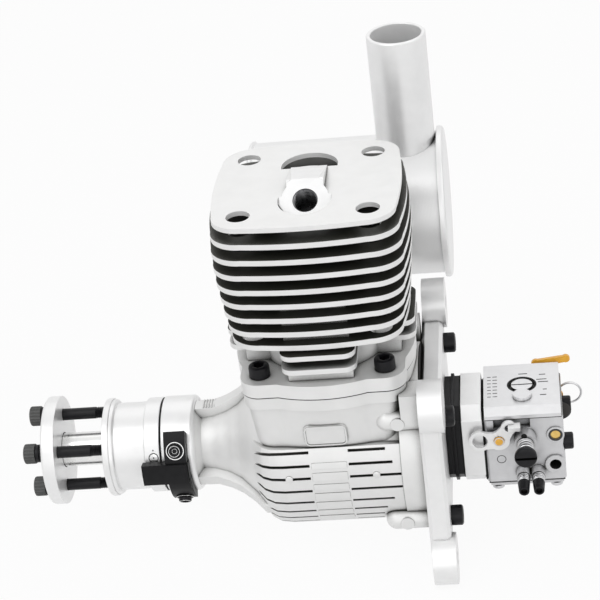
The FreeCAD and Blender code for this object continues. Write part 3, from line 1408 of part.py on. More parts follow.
# Exhaust
gasket = block((-exhaust_boss_half, exhaust_boss_half), (exhaust_face_y, exhaust_face_y + gasket_thickness),
               (can_z - exhaust_flange_half_z, can_z + exhaust_flange_half_z))
gasket = gasket.cut([
    block((-exhaust_half, exhaust_half), (0, exhaust_seat), (exhaust_bottom, exhaust_top)),
    rod_y(m5_r + hole_gap, 0, exhaust_seat, -exhaust_screw_x, can_z),
    rod_y(m5_r + hole_gap, 0, exhaust_seat, exhaust_screw_x, can_z),
])
save("exhaust_gasket", gasket)
save("exhaust_flange", exhaust_flange())
exhaust_screw = socket_screw(m5_r, m5_head_r, m5_head, exhaust_seat - exhaust_face_y + exhaust_thread_depth)
save("exhaust_bolts",
     *[placed(exhaust_screw, Vector(side * exhaust_screw_x, exhaust_seat, can_z), Y) for side in (-1, 1)])
save("muffler_can", muffler_can())
save("muffler_end_cap", muffler_end_cap())
tube_bottom = can_z + can_r - tube_depth_in_can
save("exhaust_tube", rod_z(tube_r, tube_bottom, tube_top, tube_x, can_y).cut(
    rod_z(tube_bore_r, tube_bottom - 1, tube_top + 1, tube_x, can_y)))
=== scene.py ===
"""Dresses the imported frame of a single-cylinder model aircraft engine."""

import json
import logging
import math
from dataclasses import dataclass, field
from enum import Enum
from typing import Callable, Sequence

import bmesh
import bpy
from mathutils import Matrix, Vector

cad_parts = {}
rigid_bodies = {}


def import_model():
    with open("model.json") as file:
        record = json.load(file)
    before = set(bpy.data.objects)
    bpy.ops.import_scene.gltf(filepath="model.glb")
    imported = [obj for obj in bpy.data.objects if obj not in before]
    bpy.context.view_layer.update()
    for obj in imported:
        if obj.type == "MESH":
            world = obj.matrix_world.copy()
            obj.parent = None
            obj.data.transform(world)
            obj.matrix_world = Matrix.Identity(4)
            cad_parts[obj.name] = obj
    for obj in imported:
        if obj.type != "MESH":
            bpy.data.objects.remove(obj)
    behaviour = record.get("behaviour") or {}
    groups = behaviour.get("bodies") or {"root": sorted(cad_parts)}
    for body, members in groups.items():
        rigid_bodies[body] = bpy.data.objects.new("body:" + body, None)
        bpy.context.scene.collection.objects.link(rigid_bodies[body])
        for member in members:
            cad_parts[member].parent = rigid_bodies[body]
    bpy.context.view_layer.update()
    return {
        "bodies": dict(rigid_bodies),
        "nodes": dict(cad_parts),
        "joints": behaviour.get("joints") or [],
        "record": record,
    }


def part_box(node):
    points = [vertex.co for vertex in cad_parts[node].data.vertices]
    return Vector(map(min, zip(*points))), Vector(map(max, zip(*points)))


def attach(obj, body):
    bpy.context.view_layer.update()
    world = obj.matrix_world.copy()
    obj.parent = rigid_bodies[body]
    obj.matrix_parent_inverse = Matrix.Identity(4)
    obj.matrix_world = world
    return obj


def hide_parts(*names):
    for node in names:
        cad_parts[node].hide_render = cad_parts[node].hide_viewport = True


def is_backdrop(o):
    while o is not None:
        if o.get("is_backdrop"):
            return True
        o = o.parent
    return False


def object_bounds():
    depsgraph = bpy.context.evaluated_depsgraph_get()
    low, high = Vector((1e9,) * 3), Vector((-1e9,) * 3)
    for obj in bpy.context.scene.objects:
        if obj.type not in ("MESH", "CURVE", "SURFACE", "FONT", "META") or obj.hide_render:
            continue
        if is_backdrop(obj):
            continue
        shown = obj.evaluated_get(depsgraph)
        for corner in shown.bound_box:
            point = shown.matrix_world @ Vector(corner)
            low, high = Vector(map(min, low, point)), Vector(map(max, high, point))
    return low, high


LOG = logging.getLogger("engine")
# One millimetre in metres.
MM = 0.001
# Points of the CAD meshes that are closer than this are one point, in millimetres.
WELD = 0.002
# How far the mount face lies behind the cylinder axis, in millimetres.
MOUNT_FACE = 48.0
# How deep a thread is, as a share of its pitch.
THREAD_DEPTH = 0.55
Colour = tuple[float, float, float]
Profile = Sequence[tuple[float, float]]


class Axis(Enum):
    """The axis of the frame that a turned or screwed piece points along."""

    X = (1.0, 0.0, 0.0)
    MINUS_X = (-1.0, 0.0, 0.0)
    Y = (0.0, 1.0, 0.0)
    Z = (0.0, 0.0, 1.0)

    @property
    def vector(self) -> Vector:
        """The axis as a vector."""
        return Vector(self.value)


class Body(Enum):
    """The rigid bodies that pieces ride on."""

    BLOCK = "engine_block"
    CRANKSHAFT = "crankshaft"
    THROTTLE = "throttle"
    CHOKE = "choke"
    IDLE_SCREW = "idle_speed_screw"
    LOW_NEEDLE = "low_speed_needle"
    HIGH_NEEDLE = "high_speed_needle"


class Ring(Enum):
    """The kinds of ring that a screw is made of."""

    ROUND = "round"
    KNURL = "knurl"
    HEXAGON = "hexagon"
    THREAD = "thread"


# Finishes


@dataclass(frozen=True)
class Finish:
    """A metal or plastic surface with mottled colour, uneven gloss and fine relief.

    Sizes are in millimetres: patch is the size of the colour patches, grain that of the
    relief, pitch the distance between turning marks round the axis through centre, reach
    how far from a wall the painted shade in corners starts, and the line width how wide the
    painted line of shade is that runs along a sharp inner corner.
    """

    name: str
    light: Colour
    dark: Colour
    metallic: float
    gloss: tuple[float, float]
    patch: float = 6.0
    grain: float = 0.35
    relief: float = 0.02
    pitch: float = 0.0
    centre: tuple[float, float] = (0.0, 0.0)
    # Colour of the painted shade that ambient occlusion lays in corners, or None for no painted shade.
    painted_shade: Colour | None = None
    reach: float = 6.0
    open_from: float = 0.2
    open_to: float = 0.85
    # Width of the painted line of shade along sharp inner corners, 0 for none.
    corner_line_shade: float = 0.0
    specular: float = 0.5
    coat: float = 0.0

    def material(self) -> bpy.types.Material:
        """Build the node material, once.

        Returns:
            The material with this finish's name.
        """
        found = bpy.data.materials.get(self.name)
        if found:
            return found
        material = bpy.data.materials.new(self.name)
        material.use_nodes = True
        tree = material.node_tree
        shader = tree.nodes["Principled BSDF"]
        shader.inputs["Metallic"].default_value = self.metallic
        shader.inputs["Coat Weight"].default_value = self.coat
        shader.inputs["Specular IOR Level"].default_value = self.specular
        place = tree.nodes.new("ShaderNodeTexCoord").outputs["Object"]
        patches = self._noise(tree, place, 1 / (self.patch * MM), 4.0)
        colour = self._ramp(tree, patches)
        # Painted shade: the colour darkens in corners and along sharp inner corners, by ambient occlusion.
        if self.painted_shade is not None:
            openness = (self.open_from, self.open_to)
            colour = self._with_painted_shade(tree, colour, self.painted_shade, self.reach, openness)
        if self.corner_line_shade:
            colour = self._with_painted_shade(tree, colour, OLIVE_SHADE, self.corner_line_shade, CORNER_LINE_SHADE_OPENNESS)
        tree.links.new(colour, shader.inputs["Base Color"])
        gloss = tree.nodes.new("ShaderNodeMapRange")
        gloss.inputs["From Min"].default_value = 0.3
        gloss.inputs["From Max"].default_value = 0.7
        gloss.inputs["To Min"].default_value = self.gloss[0]
        gloss.inputs["To Max"].default_value = self.gloss[1]
        tree.links.new(patches, gloss.inputs["Value"])
        tree.links.new(gloss.outputs["Result"], shader.inputs["Roughness"])
        grain = self._noise(tree, place, 1 / (self.grain * MM), 2.0)
        normal = self._relief(tree, grain, self.relief, None)
        if self.pitch:
            normal = self._relief(tree, self._turning(tree, place), self.relief, normal)
        tree.links.new(normal, shader.inputs["Normal"])
        return material

    def _noise(self, tree: bpy.types.NodeTree, place: bpy.types.NodeSocket, scale: float,
               detail: float) -> bpy.types.NodeSocket:
        """Add a noise pattern.

        Args:
            tree: The material's node tree.
            place: The coordinates to read.
            scale: Patches per metre.
            detail: How many finer layers it has.

        Returns:
            The noise value.
        """
        noise = tree.nodes.new("ShaderNodeTexNoise")
        noise.inputs["Scale"].default_value = scale
        noise.inputs["Detail"].default_value = detail
        tree.links.new(place, noise.inputs["Vector"])
        return noise.outputs["Fac"]

    def _ramp(self, tree: bpy.types.NodeTree, value: bpy.types.NodeSocket) -> bpy.types.NodeSocket:
        """Mix the dark and the light tone by a value.

        Args:
            tree: The material's node tree.
            value: The value that mixes them.

        Returns:
            The mixed colour.
        """
        ramp = tree.nodes.new("ShaderNodeValToRGB")
        low, high = ramp.color_ramp.elements
        low.position, low.color = 0.3, (*self.dark, 1.0)
        high.position, high.color = 0.65, (*self.light, 1.0)
        tree.links.new(value, ramp.inputs["Fac"])
        return ramp.outputs["Color"]

    def _with_painted_shade(self, tree: bpy.types.NodeTree, colour: bpy.types.NodeSocket, deep: Colour,
                  reach: float, openness: tuple[float, float]) -> bpy.types.NodeSocket:
        """Darken a colour where the surface is deep in a corner.

        Args:
            tree: The material's node tree.
            colour: The colour in the open.
            deep: The colour of the painted shade deep in a corner.
            reach: How far from a wall it starts, in millimetres.
            openness: The shares of open sky where it is fully deep and fully open.

        Returns:
            The colour with darker corners.
        """
        # Painted shade from ambient occlusion: the shade colour where little open sky is seen.
        sky = tree.nodes.new("ShaderNodeAmbientOcclusion")
        sky.samples = 8
        sky.inputs["Distance"].default_value = reach * MM
        ramp = tree.nodes.new("ShaderNodeMapRange")
        ramp.interpolation_type = "SMOOTHSTEP"
        ramp.inputs["From Min"].default_value, ramp.inputs["From Max"].default_value = openness
        tree.links.new(sky.outputs["AO"], ramp.inputs["Value"])
        mix = tree.nodes.new("ShaderNodeMix")
        mix.data_type = "RGBA"
        dark_side = next(s for s in mix.inputs if s.name == "A" and s.type == "RGBA")
        open_side = next(s for s in mix.inputs if s.name == "B" and s.type == "RGBA")
        dark_side.default_value = (*deep, 1.0)
        tree.links.new(ramp.outputs["Result"], mix.inputs["Factor"])
        tree.links.new(colour, open_side)
        return next(s for s in mix.outputs if s.type == "RGBA")

    def _turning(self, tree: bpy.types.NodeTree, place: bpy.types.NodeSocket) -> bpy.types.NodeSocket:
        """Fine rings round a turning axis that runs along X.

        Args:
            tree: The material's node tree.
            place: The coordinates to read.

        Returns:
            A value that rises and falls once per mark.
        """
        shift = tree.nodes.new("ShaderNodeVectorMath")
        shift.operation = "SUBTRACT"
        shift.inputs[1].default_value = (0.0, self.centre[0] * MM, self.centre[1] * MM)
        tree.links.new(place, shift.inputs[0])
        split = tree.nodes.new("ShaderNodeSeparateXYZ")
        tree.links.new(shift.outputs["Vector"], split.inputs["Vector"])
        flat = tree.nodes.new("ShaderNodeCombineXYZ")
        tree.links.new(split.outputs["Y"], flat.inputs["Y"])
        tree.links.new(split.outputs["Z"], flat.inputs["Z"])
        radius = tree.nodes.new("ShaderNodeVectorMath")
        radius.operation = "LENGTH"
        tree.links.new(flat.outputs["Vector"], radius.inputs[0])
        total = tree.nodes.new("ShaderNodeMath")
        total.operation = "ADD"
        tree.links.new(radius.outputs["Value"], total.inputs[0])
        tree.links.new(split.outputs["X"], total.inputs[1])
        turns = tree.nodes.new("ShaderNodeMath")
        turns.operation = "MULTIPLY"
        turns.inputs[1].default_value = 2 * math.pi / (self.pitch * MM)
        tree.links.new(total.outputs["Value"], turns.inputs[0])
        wave = tree.nodes.new("ShaderNodeMath")
        wave.operation = "SINE"
        tree.links.new(turns.outputs["Value"], wave.inputs[0])
        return wave.outputs["Value"]

    def _relief(self, tree: bpy.types.NodeTree, height: bpy.types.NodeSocket, depth: float,
                below: bpy.types.NodeSocket | None) -> bpy.types.NodeSocket:
        """Add a bump of a given depth.

        Args:
            tree: The material's node tree.
            height: The height pattern.
            depth: Its depth in millimetres.
            below: The normal to add it to, if there is one.

        Returns:
            The bumped normal.
        """
        bump = tree.nodes.new("ShaderNodeBump")
        bump.inputs["Distance"].default_value = depth * MM
        bump.inputs["Strength"].default_value = 1.0
        tree.links.new(height, bump.inputs["Height"])
        if below is not None:
            tree.links.new(below, bump.inputs["Normal"])
        return bump.outputs["Normal"]


# Openness range and colours of the painted shade in corners and along sharp inner corners.
CORNER_LINE_SHADE_OPENNESS = (0.45, 0.72)
OLIVE_SHADE = (0.035, 0.035, 0.028)
GREY_SHADE = (0.04, 0.042, 0.046)
BLACK_SHADE = (0.002, 0.002, 0.002)

# A finish with a shade colour paints shade into its corners, and one with a line width also along its sharp
# inner corners.
CASTING = Finish(
    "blasted_casting", (0.83, 0.83, 0.825), (0.79, 0.79, 0.785), 0.5, (0.46, 0.54), patch=9.0,
    grain=0.3, relief=0.012, painted_shade=OLIVE_SHADE, reach=7.0, open_from=0.2, open_to=0.85, corner_line_shade=1.5,
)
FINNED = Finish(
    "finned_casting", (0.85, 0.85, 0.845), (0.81, 0.81, 0.805), 0.5, (0.44, 0.52), patch=9.0, grain=0.3,
    relief=0.01, painted_shade=OLIVE_SHADE, reach=6.0, open_from=0.3, open_to=0.8, corner_line_shade=1.2,
)
# Painted shade on the flat sides of the cooling fins: a darker copy of the finned casting, darker still deep
# between the fins.
FIN_FACE_PAINTED_SHADE = Finish(
    "painted_shade_fin_face", (0.6, 0.6, 0.58), (0.5, 0.5, 0.48), 0.3, (0.5, 0.6), patch=9.0, grain=0.3,
    relief=0.01, painted_shade=OLIVE_SHADE, reach=24.0, open_from=0.56, open_to=0.97,
)
PAD = Finish(
    "machined_pad", (0.97, 0.97, 0.97), (0.93, 0.93, 0.93), 0.3, (0.3, 0.4), patch=5.0, grain=0.2,
    relief=0.003, painted_shade=GREY_SHADE, reach=1.5,
)
# The thread in the plug hole, with painted shade that turns it black deep in the hole.
TAPPED = Finish(
    "tapped_thread", (0.34, 0.34, 0.35), (0.24, 0.24, 0.25), 0.7, (0.25, 0.35), patch=2.0, grain=0.2,
    relief=0.004, painted_shade=BLACK_SHADE, reach=9.0, open_from=0.1, open_to=0.75,
)
MILLED = Finish(
    "milled_aluminium", (0.88, 0.88, 0.88), (0.84, 0.84, 0.84), 0.5, (0.34, 0.42), patch=8.0,
    grain=0.25, relief=0.006, painted_shade=GREY_SHADE, reach=3.0, corner_line_shade=1.0,
)
TURNED = Finish(
    "turned_aluminium", (0.90, 0.90, 0.90), (0.86, 0.86, 0.86), 0.5, (0.3, 0.38), patch=9.0, grain=0.3,
    relief=0.004, pitch=0.35, painted_shade=GREY_SHADE, reach=2.5, open_from=0.1, open_to=0.7, corner_line_shade=1.0,
)
DIE_CAST = Finish(
    "smooth_die_casting", (0.66, 0.66, 0.67), (0.6, 0.6, 0.61), 0.6, (0.34, 0.44), patch=4.0, grain=0.2,
    relief=0.008, painted_shade=GREY_SHADE, reach=4.5, open_from=0.2, corner_line_shade=1.4,
)
COVER = Finish(
    "satin_cover", (0.78, 0.78, 0.79), (0.73, 0.73, 0.74), 0.5, (0.32, 0.42), patch=5.0, grain=0.18,
    relief=0.008, painted_shade=GREY_SHADE, reach=2.5, corner_line_shade=1.6,
)
SPUN = Finish(
    "spun_aluminium", (0.89, 0.89, 0.89), (0.86, 0.86, 0.86), 0.5, (0.34, 0.42), patch=12.0, grain=0.4,
    relief=0.005, pitch=0.6, centre=(80.0, 66.0), painted_shade=GREY_SHADE, reach=3.0, open_from=0.1,
    open_to=0.7,
)
POLISHED = Finish(
    "polished_steel", (0.60, 0.64, 0.70), (0.50, 0.54, 0.60), 1.0, (0.1, 0.2), patch=5.0, grain=0.3,
    relief=0.002,
)
GROUND = Finish(
    "ground_steel", (0.66, 0.66, 0.67), (0.54, 0.54, 0.55), 1.0, (0.26, 0.38), patch=3.0, grain=0.2,
    relief=0.006, painted_shade=GREY_SHADE, reach=1.5,
)
BLACK_OXIDE = Finish(
    "black_oxide", (0.008, 0.008, 0.010), (0.004, 0.004, 0.005), 0.0, (0.34, 0.44), patch=2.0,
    grain=0.12, relief=0.01, painted_shade=BLACK_SHADE, reach=2.0, specular=0.24,
)
# Painted highlight: the knurled heads are a lighter copy of the black oxide, as if their ridges caught the
# light.
KNURLED_HEAD_PAINTED_HIGHLIGHT = Finish(
    "knurled_head_painted_highlight", (0.085, 0.086, 0.084), (0.055, 0.056, 0.055), 0.2, (0.36, 0.46), patch=2.0,
    grain=0.12, relief=0.008, painted_shade=BLACK_SHADE, reach=1.0, open_from=0.35, open_to=0.8,
)
BLACK_PLASTIC = Finish(
    "black_moulding", (0.008, 0.008, 0.009), (0.004, 0.004, 0.005), 0.0, (0.36, 0.46), patch=3.0,
    grain=0.2, relief=0.008, painted_shade=BLACK_SHADE, reach=3.0, specular=0.2,
)
ORANGE = Finish(
    "orange_moulding", (0.95, 0.5, 0.05), (0.88, 0.43, 0.035), 0.0, (0.3, 0.42), patch=3.0, grain=0.2,
    relief=0.008, painted_shade=(0.25, 0.09, 0.01), reach=1.5, coat=0.3,
)
BRASS = Finish(
    "turned_brass", (0.85, 0.6, 0.2), (0.7, 0.46, 0.14), 0.9, (0.25, 0.38), patch=2.0, grain=0.15,
    relief=0.006, painted_shade=(0.12, 0.07, 0.02), reach=1.5,
)
IRON = Finish(
    "ring_iron", (0.3, 0.3, 0.31), (0.2, 0.2, 0.21), 0.8, (0.35, 0.5), patch=2.0, grain=0.15,
    relief=0.01,
)
# Black fibre for gaskets and marks, also used as painted shade inside the fuel inlet, in the vent hole and at
# the edge of the pump screw's recess.
BLACK_FIBRE_AND_SHADE = Finish(
    "black_fibre_and_painted_shade", (0.02, 0.02, 0.02), (0.01, 0.01, 0.01), 0.0, (0.7, 0.85), patch=2.0, grain=0.12,
    relief=0.02, specular=0.2,
)
# Bright steel, also used for the thin painted highlights on the sensor screws.
BRIGHT_STEEL_AND_HIGHLIGHT = Finish(
    "bright_steel_and_painted_highlight", (0.88, 0.88, 0.87), (0.82, 0.82, 0.82), 0.8, (0.2, 0.28), patch=4.0, grain=0.3,
    relief=0.003, painted_shade=GREY_SHADE, reach=1.0,
)
RUBBER = Finish(
    "seal_rubber", (0.02, 0.02, 0.02), (0.01, 0.01, 0.01), 0.0, (0.5, 0.65), patch=2.0, grain=0.15,
    relief=0.015, specular=0.25,
)


# Mesh tools


def vec(x: float, y: float, z: float) -> Vector:
    """A point of the frame in metres from engine millimetres, x counted from the cylinder axis."""
    return Vector(((x - MOUNT_FACE) * MM, y * MM, z * MM))


def finished(name: str, mesh: bmesh.types.BMesh, finish: Finish, body: Body, *, sharp: float = 35.0,
             bevel: float = 0.0) -> bpy.types.Object:
    """Turn a bmesh into a smooth-shaded piece that rides on a body.

    Args:
        name: The piece's name.
        mesh: The mesh, in metres in the frame.
        finish: Its finish.
        body: The body that it rides on.
        sharp: Edges sharper than this stay crisp, in degrees.
        bevel: Width of the edge rounding in millimetres.

    Returns:
        The new object.
    """
    bmesh.ops.recalc_face_normals(mesh, faces=mesh.faces)
    data = bpy.data.meshes.new(name)
    mesh.to_mesh(data)
    mesh.free()
    piece = bpy.data.objects.new(name, data)
    bpy.context.scene.collection.objects.link(piece)
    data.materials.append(finish.material())
    soften(piece, sharp, bevel)
    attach(piece, body.value)
    LOG.info("made %s", name)
    return piece


def soften(piece: bpy.types.Object, sharp: float, bevel: float) -> None:
    """Shade a piece smooth between its crisp edges, and round those edges.

    Args:
        piece: The object.
        sharp: Edges sharper than this stay crisp, in degrees.
        bevel: Width of the edge rounding in millimetres, 0 for none.
    """
    for face in piece.data.polygons:
        face.use_smooth = True
    if bevel:
        rounding = piece.modifiers.new("edges", "BEVEL")
        rounding.width = bevel * MM
        rounding.segments = 2
        rounding.limit_method = "ANGLE"
        rounding.angle_limit = math.radians(sharp)
        rounding.use_clamp_overlap = True
    split = piece.modifiers.new("crisp_edges", "EDGE_SPLIT")
    split.split_angle = math.radians(sharp)
    normals = piece.modifiers.new("even_faces", "WEIGHTED_NORMAL")
    normals.keep_sharp = True


def circle(mesh: bmesh.types.BMesh, origin: Vector, turn: Matrix, along: float,
           reaches: Sequence[float]) -> list[bmesh.types.BMVert]:
    """Add one ring of points round an axis.

    Args:
        mesh: The mesh to add to.
        origin: Where distance 0 is, in metres.
        turn: The rotation from +Z to the axis.
        along: The ring's distance along the axis, in millimetres.
        reaches: Each point's distance from the axis, evenly spaced round it.

    Returns:
        The points, in order.
    """
    ring = []
    for k, reach in enumerate(reaches):
        angle = 2 * math.pi * k / len(reaches)
        point = Vector((reach * math.cos(angle), reach * math.sin(angle), along)) * MM
        ring.append(mesh.verts.new(origin + turn @ point))
    return ring


def turned(profile: Profile, origin: Vector, axis: Axis, steps: int = 96) -> bmesh.types.BMesh:
    """Turn a profile round an axis.

    Args:
        profile: Pairs of distance along the axis and radius, in millimetres.
        origin: Where distance 0 is, in metres.
        axis: The turning axis.
        steps: How many facets go round.

    Returns:
        The closed mesh.
    """
    mesh = bmesh.new()
    turn = axis.vector.to_track_quat("Z", "Y").to_matrix()
    rings: list[list[bmesh.types.BMVert]] = []
    for along, radius in profile:
        if radius <= 0:
            rings.append(circle(mesh, origin, turn, along, [0.0]))
        else:
            rings.append(circle(mesh, origin, turn, along, [radius] * steps))
    for first, second in zip(rings, rings[1:]):
        bridge(mesh, first, second)
    for ring in (rings[0], rings[-1]):
        if len(ring) > 1:
            mesh.faces.new(ring)
    return mesh


def turned_ring(profile: Profile, origin: Vector, axis: Axis, steps: int) -> bmesh.types.BMesh:
    """Turn a closed outline that doesn't touch the axis.

    Args:
        profile: The outline, whose last point repeats its first.
        origin: Where distance 0 is, in metres.
        axis: The turning axis.
        steps: How many facets go round.

    Returns:
        The mesh of a ring.
    """
    mesh = bmesh.new()
    turn = axis.vector.to_track_quat("Z", "Y").to_matrix()
    rings = [circle(mesh, origin, turn, along, [radius] * steps) for along, radius in profile[:-1]]
    for first, second in zip(rings, rings[1:] + rings[:1]):
        bridge(mesh, first, second)
    return mesh


def turned_cap(profile: Profile, origin: Vector, axis: Axis, steps: int) -> bmesh.types.BMesh:
    """Turn a closed outline that touches the axis at two neighbouring points.

    Args:
        profile: The outline, whose last point repeats its first.
        origin: Where distance 0 is, in metres.
        axis: The turning axis.
        steps: How many facets go round.

    Returns:
        The closed mesh.
    """
    start = next(k for k in range(len(profile) - 1) if profile[k][1] == 0 and profile[k + 1][1] == 0)
    around = list(profile[:-1])
    order = around[start + 1:] + around[:start + 1]
    return turned(order, origin, axis, steps)


def outward(degrees: float) -> Vector:
    """The way from the crank axis at an angle, 0 on the near side and positive downwards.

    Args:
        degrees: The angle.

    Returns:
        The unit vector.
    """
    angle = math.radians(degrees)
    return Vector((0, -math.cos(angle), -math.sin(angle)))


def pointing_out(degrees: float, origin: Vector) -> Matrix:
    """The transform that sets a piece drawn along Z at a place, pointing away from the crank.

    Args:
        degrees: Its angle below the near side.
        origin: The place.

    Returns:
        The transform.
    """
    return Matrix.Translation(origin) @ outward(degrees).to_track_quat("Z", "Y").to_matrix().to_4x4()


def sector(radii: tuple[float, float], xs: tuple[float, float], angles: tuple[float, float],
           steps: int = 20) -> bmesh.types.BMesh:
    """A piece of a thick ring round the crank axis.

    Args:
        radii: Inner and outer radius in millimetres.
        xs: Front and rear station, counted from the cylinder axis.
        angles: First and last angle in degrees, 0 on the near side and positive downwards.
        steps: How many facets go round it.

    Returns:
        The mesh.
    """
    mesh = bmesh.new()
    rings = []
    for k in range(steps + 1):
        angle = math.radians(angles[0] + (angles[1] - angles[0]) * k / steps)
        y, z = -math.cos(angle), -math.sin(angle)
        corners = ((xs[0], radii[0]), (xs[0], radii[1]), (xs[1], radii[1]), (xs[1], radii[0]))
        rings.append([mesh.verts.new(vec(x, r * y, r * z)) for x, r in corners])
    for first, second in zip(rings, rings[1:]):
        bridge(mesh, first, second)
    mesh.faces.new(rings[0])
    mesh.faces.new(rings[-1])
    return mesh


def bar(mesh: bmesh.types.BMesh, centre: Vector, size: Vector) -> None:
    """Add a low bar with sloping ends to a mesh.

    Args:
        mesh: The mesh to add to.
        centre: The middle of its foot, in metres.
        size: Length, width and height in millimetres.
    """
    half = size * 0.5
    rings = []
    for shrink, height in ((0.0, -0.05), (0.0, 0.0), (0.12, size.z)):
        corners = []
        for sx, sy in ((-1, -1), (1, -1), (1, 1), (-1, 1)):
            offset = Vector((sx * (half.x - shrink), sy * (half.y - shrink), height)) * MM
            corners.append(mesh.verts.new(centre + offset))
        rings.append(corners)
    for first, second in zip(rings, rings[1:]):
        bridge(mesh, first, second)
    mesh.faces.new(rings[0])
    mesh.faces.new(rings[-1])


def cut_slot(mesh: bmesh.types.BMesh, origin: Vector, axis: Axis, length: float, width: float,
             depth: float) -> None:
    """Press a driver slot into the face of a turned head by moving its points in.

    Args:
        mesh: The turned mesh, whose face is at the origin.
        origin: The centre of the face.
        axis: The way into the head.
        length: The slot's length in millimetres.
        width: Its width.
        depth: Its depth.
    """
    across = Vector((0, 0, 1)) if axis is not Axis.Z else Vector((0, 1, 0))
    for side in (-1, 1):
        for away in (width / 2, width / 2 + 0.06):
            bmesh.ops.bisect_plane(mesh, geom=mesh.verts[:] + mesh.edges[:] + mesh.faces[:],
                                   plane_co=origin + across * side * away * MM, plane_no=across)
    inward = axis.vector
    for vert in mesh.verts:
        offset = vert.co - origin
        along = offset.dot(inward)
        aside = abs(offset.dot(across))
        if aside < (width / 2 + 0.02) * MM and along < depth * MM and offset.length < length * MM:
            vert.co += inward * (depth * MM - along)


def bridge(mesh: bmesh.types.BMesh, first: list[bmesh.types.BMVert],
           second: list[bmesh.types.BMVert]) -> None:
    """Join two rings of a mesh, either of which may be a single point.

    Args:
        mesh: The mesh that both rings belong to.
        first: The points of one ring, in order.
        second: The points of the other.
    """
    count = max(len(first), len(second))
    if count == 1:
        return
    for near in range(count):
        far = (near + 1) % count
        if len(first) == 1:
            mesh.faces.new((first[0], second[far], second[near]))
        elif len(second) == 1:
            mesh.faces.new((first[near], first[far], second[0]))
        else:
            mesh.faces.new((first[near], first[far], second[far], second[near]))


def thread_ridge(along: float, pitch: float, share: float) -> float:
    """How deep a point of a helix lies between its crest, 0, and its root, 1.

    Args:
        along: The point's distance along the axis.
        pitch: The thread's pitch.
        share: The point's angle in turns.

    Returns:
        The depth as a share.
    """
    phase = (along / pitch - share) % 1.0
    return 1 - abs(2 * phase - 1)


def hexagon_reach(share: float, flat: float) -> float:
    """How far a hexagon reaches at an angle.

    Args:
        share: The angle in turns.
        flat: Half the distance across its flats.

    Returns:
        The distance from its centre to its edge.
    """
    offset = (share * 6 + 0.5) % 1.0 - 0.5
    return flat / math.cos(offset * math.pi / 3)


@dataclass
class Screw:
    """A machine screw with a knurled head, a hexagon socket and a real thread.

    The head's seat is at the origin and the head stands along the axis. Sizes in millimetres.
    thread_from is how much of the shank is plain, and socket is half the socket's width across
    its flats, as a share of the head's radius.
    """

    radius: float
    head_radius: float
    head: float
    length: float
    thread_from: float
    pitch: float = 0.8
    knurl: float = 0.16
    teeth: int = 30
    socket: float = 0.48

    def mesh(self, origin: Vector, axis: Axis) -> bmesh.types.BMesh:
        """Build the whole screw as one mesh.

        Args:
            origin: The seat of the head.
            axis: The way that the head points.

        Returns:
            The mesh.
        """
        steps = self.teeth * 2
        mesh = bmesh.new()
        turn = axis.vector.to_track_quat("Z", "Y").to_matrix()
        rings = []
        for along, radius, kind in self._rings():
            reaches = [self._reach(kind, radius, along, k, steps) for k in range(steps)] if radius else [0.0]
            rings.append(circle(mesh, origin, turn, along, reaches))
        for first, second in zip(rings, rings[1:]):
            bridge(mesh, first, second)
        for face in mesh.faces:
            if (face.calc_center_median() - origin).dot(axis.vector) > 0:
                face.material_index = 1
        return mesh

    def _reach(self, kind: Ring, radius: float, along: float, k: int, steps: int) -> float:
        """How far one point of a ring is from the axis.

        Args:
            kind: The kind of ring.
            radius: Its radius.
            along: Its distance along the axis.
            k: The point's number.
            steps: How many points go round.

        Returns:
            The distance in millimetres.
        """
        if kind is Ring.KNURL and k % 2:
            return radius - self.knurl
        if kind is Ring.HEXAGON:
            return hexagon_reach(k / steps, radius)
        if kind is Ring.THREAD:
            return radius - THREAD_DEPTH * self.pitch * thread_ridge(along, self.pitch, k / steps)
        return radius

    def _rings(self) -> list[tuple[float, float, Ring]]:
        """The rings from the bottom of the socket to the tip of the shank.

        Returns:
            Distance along the axis, radius and kind of each ring.
        """
        top, edge, shank = self.head, self.head_radius, self.radius
        flat = edge * self.socket
        rings = [
            (top * 0.42, 0, Ring.ROUND), (top * 0.5, flat * 0.9, Ring.ROUND), (top * 0.5, flat, Ring.HEXAGON),
            (top - 0.15, flat, Ring.HEXAGON), (top, flat * 1.12, Ring.HEXAGON), (top, edge * 0.8, Ring.ROUND),
            (top - 0.08 * edge, edge * 0.95, Ring.ROUND), (top - 0.2 * edge, edge, Ring.KNURL),
            (0.35, edge, Ring.KNURL), (0.1, edge * 0.97, Ring.ROUND), (0.0, edge * 0.9, Ring.ROUND),
            (0.0, shank, Ring.ROUND), (-self.thread_from, shank, Ring.ROUND),
        ]
        along = self.thread_from + self.pitch / 4
        while along < self.length - 0.5:
            rings.append((-along, shank, Ring.THREAD))
            along += self.pitch / 4
        return rings + [
            (-self.length + 0.4, shank * 0.82, Ring.ROUND), (-self.length, shank * 0.7, Ring.ROUND),
            (-self.length, 0, Ring.ROUND),
        ]


@dataclass
class Coil:
    """A wire compression spring. Sizes in millimetres; closed is the flat share of each end."""

    radius: float
    wire: float
    length: float
    turns: float
    sides: int = 8
    closed: float = 0.12

    def mesh(self, origin: Vector, axis: Axis) -> bmesh.types.BMesh:
        """Sweep the wire along its helix.

        Args:
            origin: Where distance 0 is.
            axis: The spring's axis.

        Returns:
            The mesh.
        """
        turn = axis.vector.to_track_quat("Z", "Y").to_matrix()
        steps = int(self.turns * 24)
        low, high = self.wire, self.length - self.wire
        points = []
        for k in range(steps + 1):
            share = k / steps
            eased = min(1.0, max(0.0, (share - self.closed) / (1 - 2 * self.closed)))
            angle = 2 * math.pi * self.turns * share
            along = low + (high - low) * eased
            local = Vector((self.radius * math.cos(angle), self.radius * math.sin(angle), along))
            points.append(origin + turn @ (local * MM))
        return swept(points, self.wire, self.sides, False)


